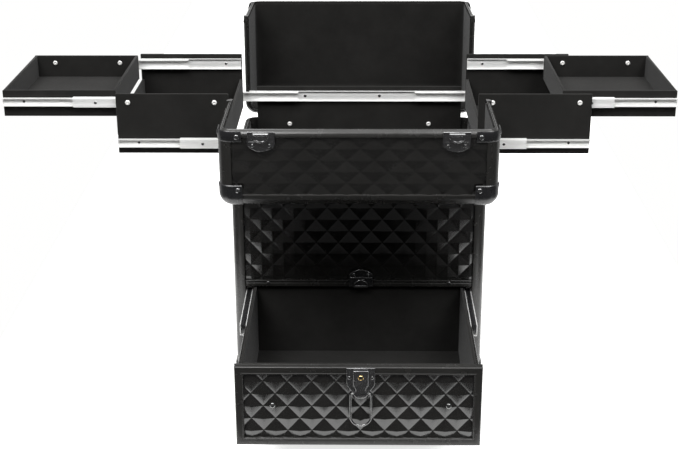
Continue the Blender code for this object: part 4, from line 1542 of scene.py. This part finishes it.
def studio_world():
    """White to the camera. To reflections it is a pale backdrop behind the case and a dim room in front of it."""
    world = bpy.data.worlds.new("studio")
    world.use_nodes = True
    tree = world.node_tree
    background = tree.nodes["Background"]
    direction = node(tree, "ShaderNodeTexCoord")
    parts = node(tree, "ShaderNodeSeparateXYZ")
    tree.links.new(direction.outputs["Generated"], parts.inputs["Vector"])
    behind = node(tree, "ShaderNodeMapRange", interpolation_type="SMOOTHSTEP")
    for name, value in (("From Min", 0.0), ("From Max", 0.54), ("To Min", 0.09), ("To Max", 0.85)):
        behind.inputs[name].default_value = value
    tree.links.new(parts.outputs["Y"], behind.inputs["Value"])
    above = node(tree, "ShaderNodeMapRange", interpolation_type="SMOOTHSTEP")
    for name, value in (("From Min", 0.62), ("From Max", 0.94), ("To Min", 0.0), ("To Max", 2.4)):
        above.inputs[name].default_value = value
    tree.links.new(parts.outputs["Z"], above.inputs["Value"])
    both = node(tree, "ShaderNodeMath", operation="MAXIMUM")
    tree.links.new(behind.outputs["Result"], both.inputs[0])
    tree.links.new(above.outputs["Result"], both.inputs[1])
    path = node(tree, "ShaderNodeLightPath")
    strength = node(tree, "ShaderNodeMath", operation="MAXIMUM")
    tree.links.new(both.outputs["Value"], strength.inputs[0])
    tree.links.new(path.outputs["Is Camera Ray"], strength.inputs[1])
    tree.links.new(strength.outputs["Value"], background.inputs["Strength"])
    background.inputs["Color"].default_value = (1.0, 1.0, 0.995, 1)
    bpy.context.scene.world = world


def stage():
    """A white floor that ends just in front of the case, on a white ground."""
    mesh = bmesh.new()
    corners = [(-0.55, -0.458), (0.55, -0.458), (0.55, 3.0), (-0.55, 3.0)]
    mesh.faces.new([mesh.verts.new((x, y, -0.0056)) for x, y in corners])
    data = bpy.data.meshes.new("floor")
    mesh.to_mesh(data)
    mesh.free()
    floor = bpy.data.objects.new("floor", data)
    made, tree, shader = material("pale_floor", (0.90, 0.90, 0.895), 0.9)
    tree.links.new(
        ramp(tree, noise(tree, 3, 2), (0.89, 0.89, 0.885), (0.91, 0.91, 0.905)), shader.inputs["Base Color"]
    )
    shader.inputs["Specular IOR Level"].default_value = 0.0
    shader.inputs["Emission Color"].default_value = (1, 1, 0.995, 1)
    shader.inputs["Emission Strength"].default_value = 0.72
    data.materials.append(made)
    bpy.context.scene.collection.objects.link(floor)
    studio_world()
    area_light("key", (-0.9, -1.35, 2.1), (0, 0, 0.2), (1.3, 0.9), 46)
    area_light("fill", (1.0, -1.25, 2.0), (0, 0, 0.2), (1.1, 1.1), 31)
    area_light("top", (0.0, 0.6, 2.5), (0, 0, 0.2), (2.2, 1.4), 10)


def camera():
    data = bpy.data.cameras.new("camera")
    data.sensor_width = 36
    data.lens = 36 * 1316.37 / 679
    data.clip_start = 0.05
    view = bpy.data.objects.new("camera", data)
    pitch, yaw, roll = (math.radians(v) for v in (21.3593, -0.9434, -0.2197))
    ahead = Vector(
        (math.sin(yaw) * math.cos(pitch), math.cos(yaw) * math.cos(pitch), -math.sin(pitch))
    )
    right = Vector((math.cos(yaw), -math.sin(yaw), 0))
    up = right.cross(ahead)
    across = right * math.cos(roll) + up * math.sin(roll)
    upright = -right * math.sin(roll) + up * math.cos(roll)
    turn = Matrix((across, upright, -ahead)).transposed()
    view.matrix_world = Matrix.Translation((0.0013, -1.7684, 0.8937)) @ turn.to_4x4()
    bpy.context.scene.collection.objects.link(view)
    bpy.context.scene.camera = view


camera()
stage()
bpy.context.scene.view_settings.view_transform = "Standard"
body_posts()
body_rims()
body_rail()
body_caps()
body_panels()
slide_boards()
hinge_knuckles()
slides()
trays()
lid(-1, "front_lid", "front_lid", 0.098, "front_lid_shell")
lid(1, "rear_lid", "rear_lid", 0.147, "rear_lid_shell")
drawer()
hardware()
frame["nodes"]["base_board"].data.materials.clear()
frame["nodes"]["base_board"].data.materials.append(BOARD)
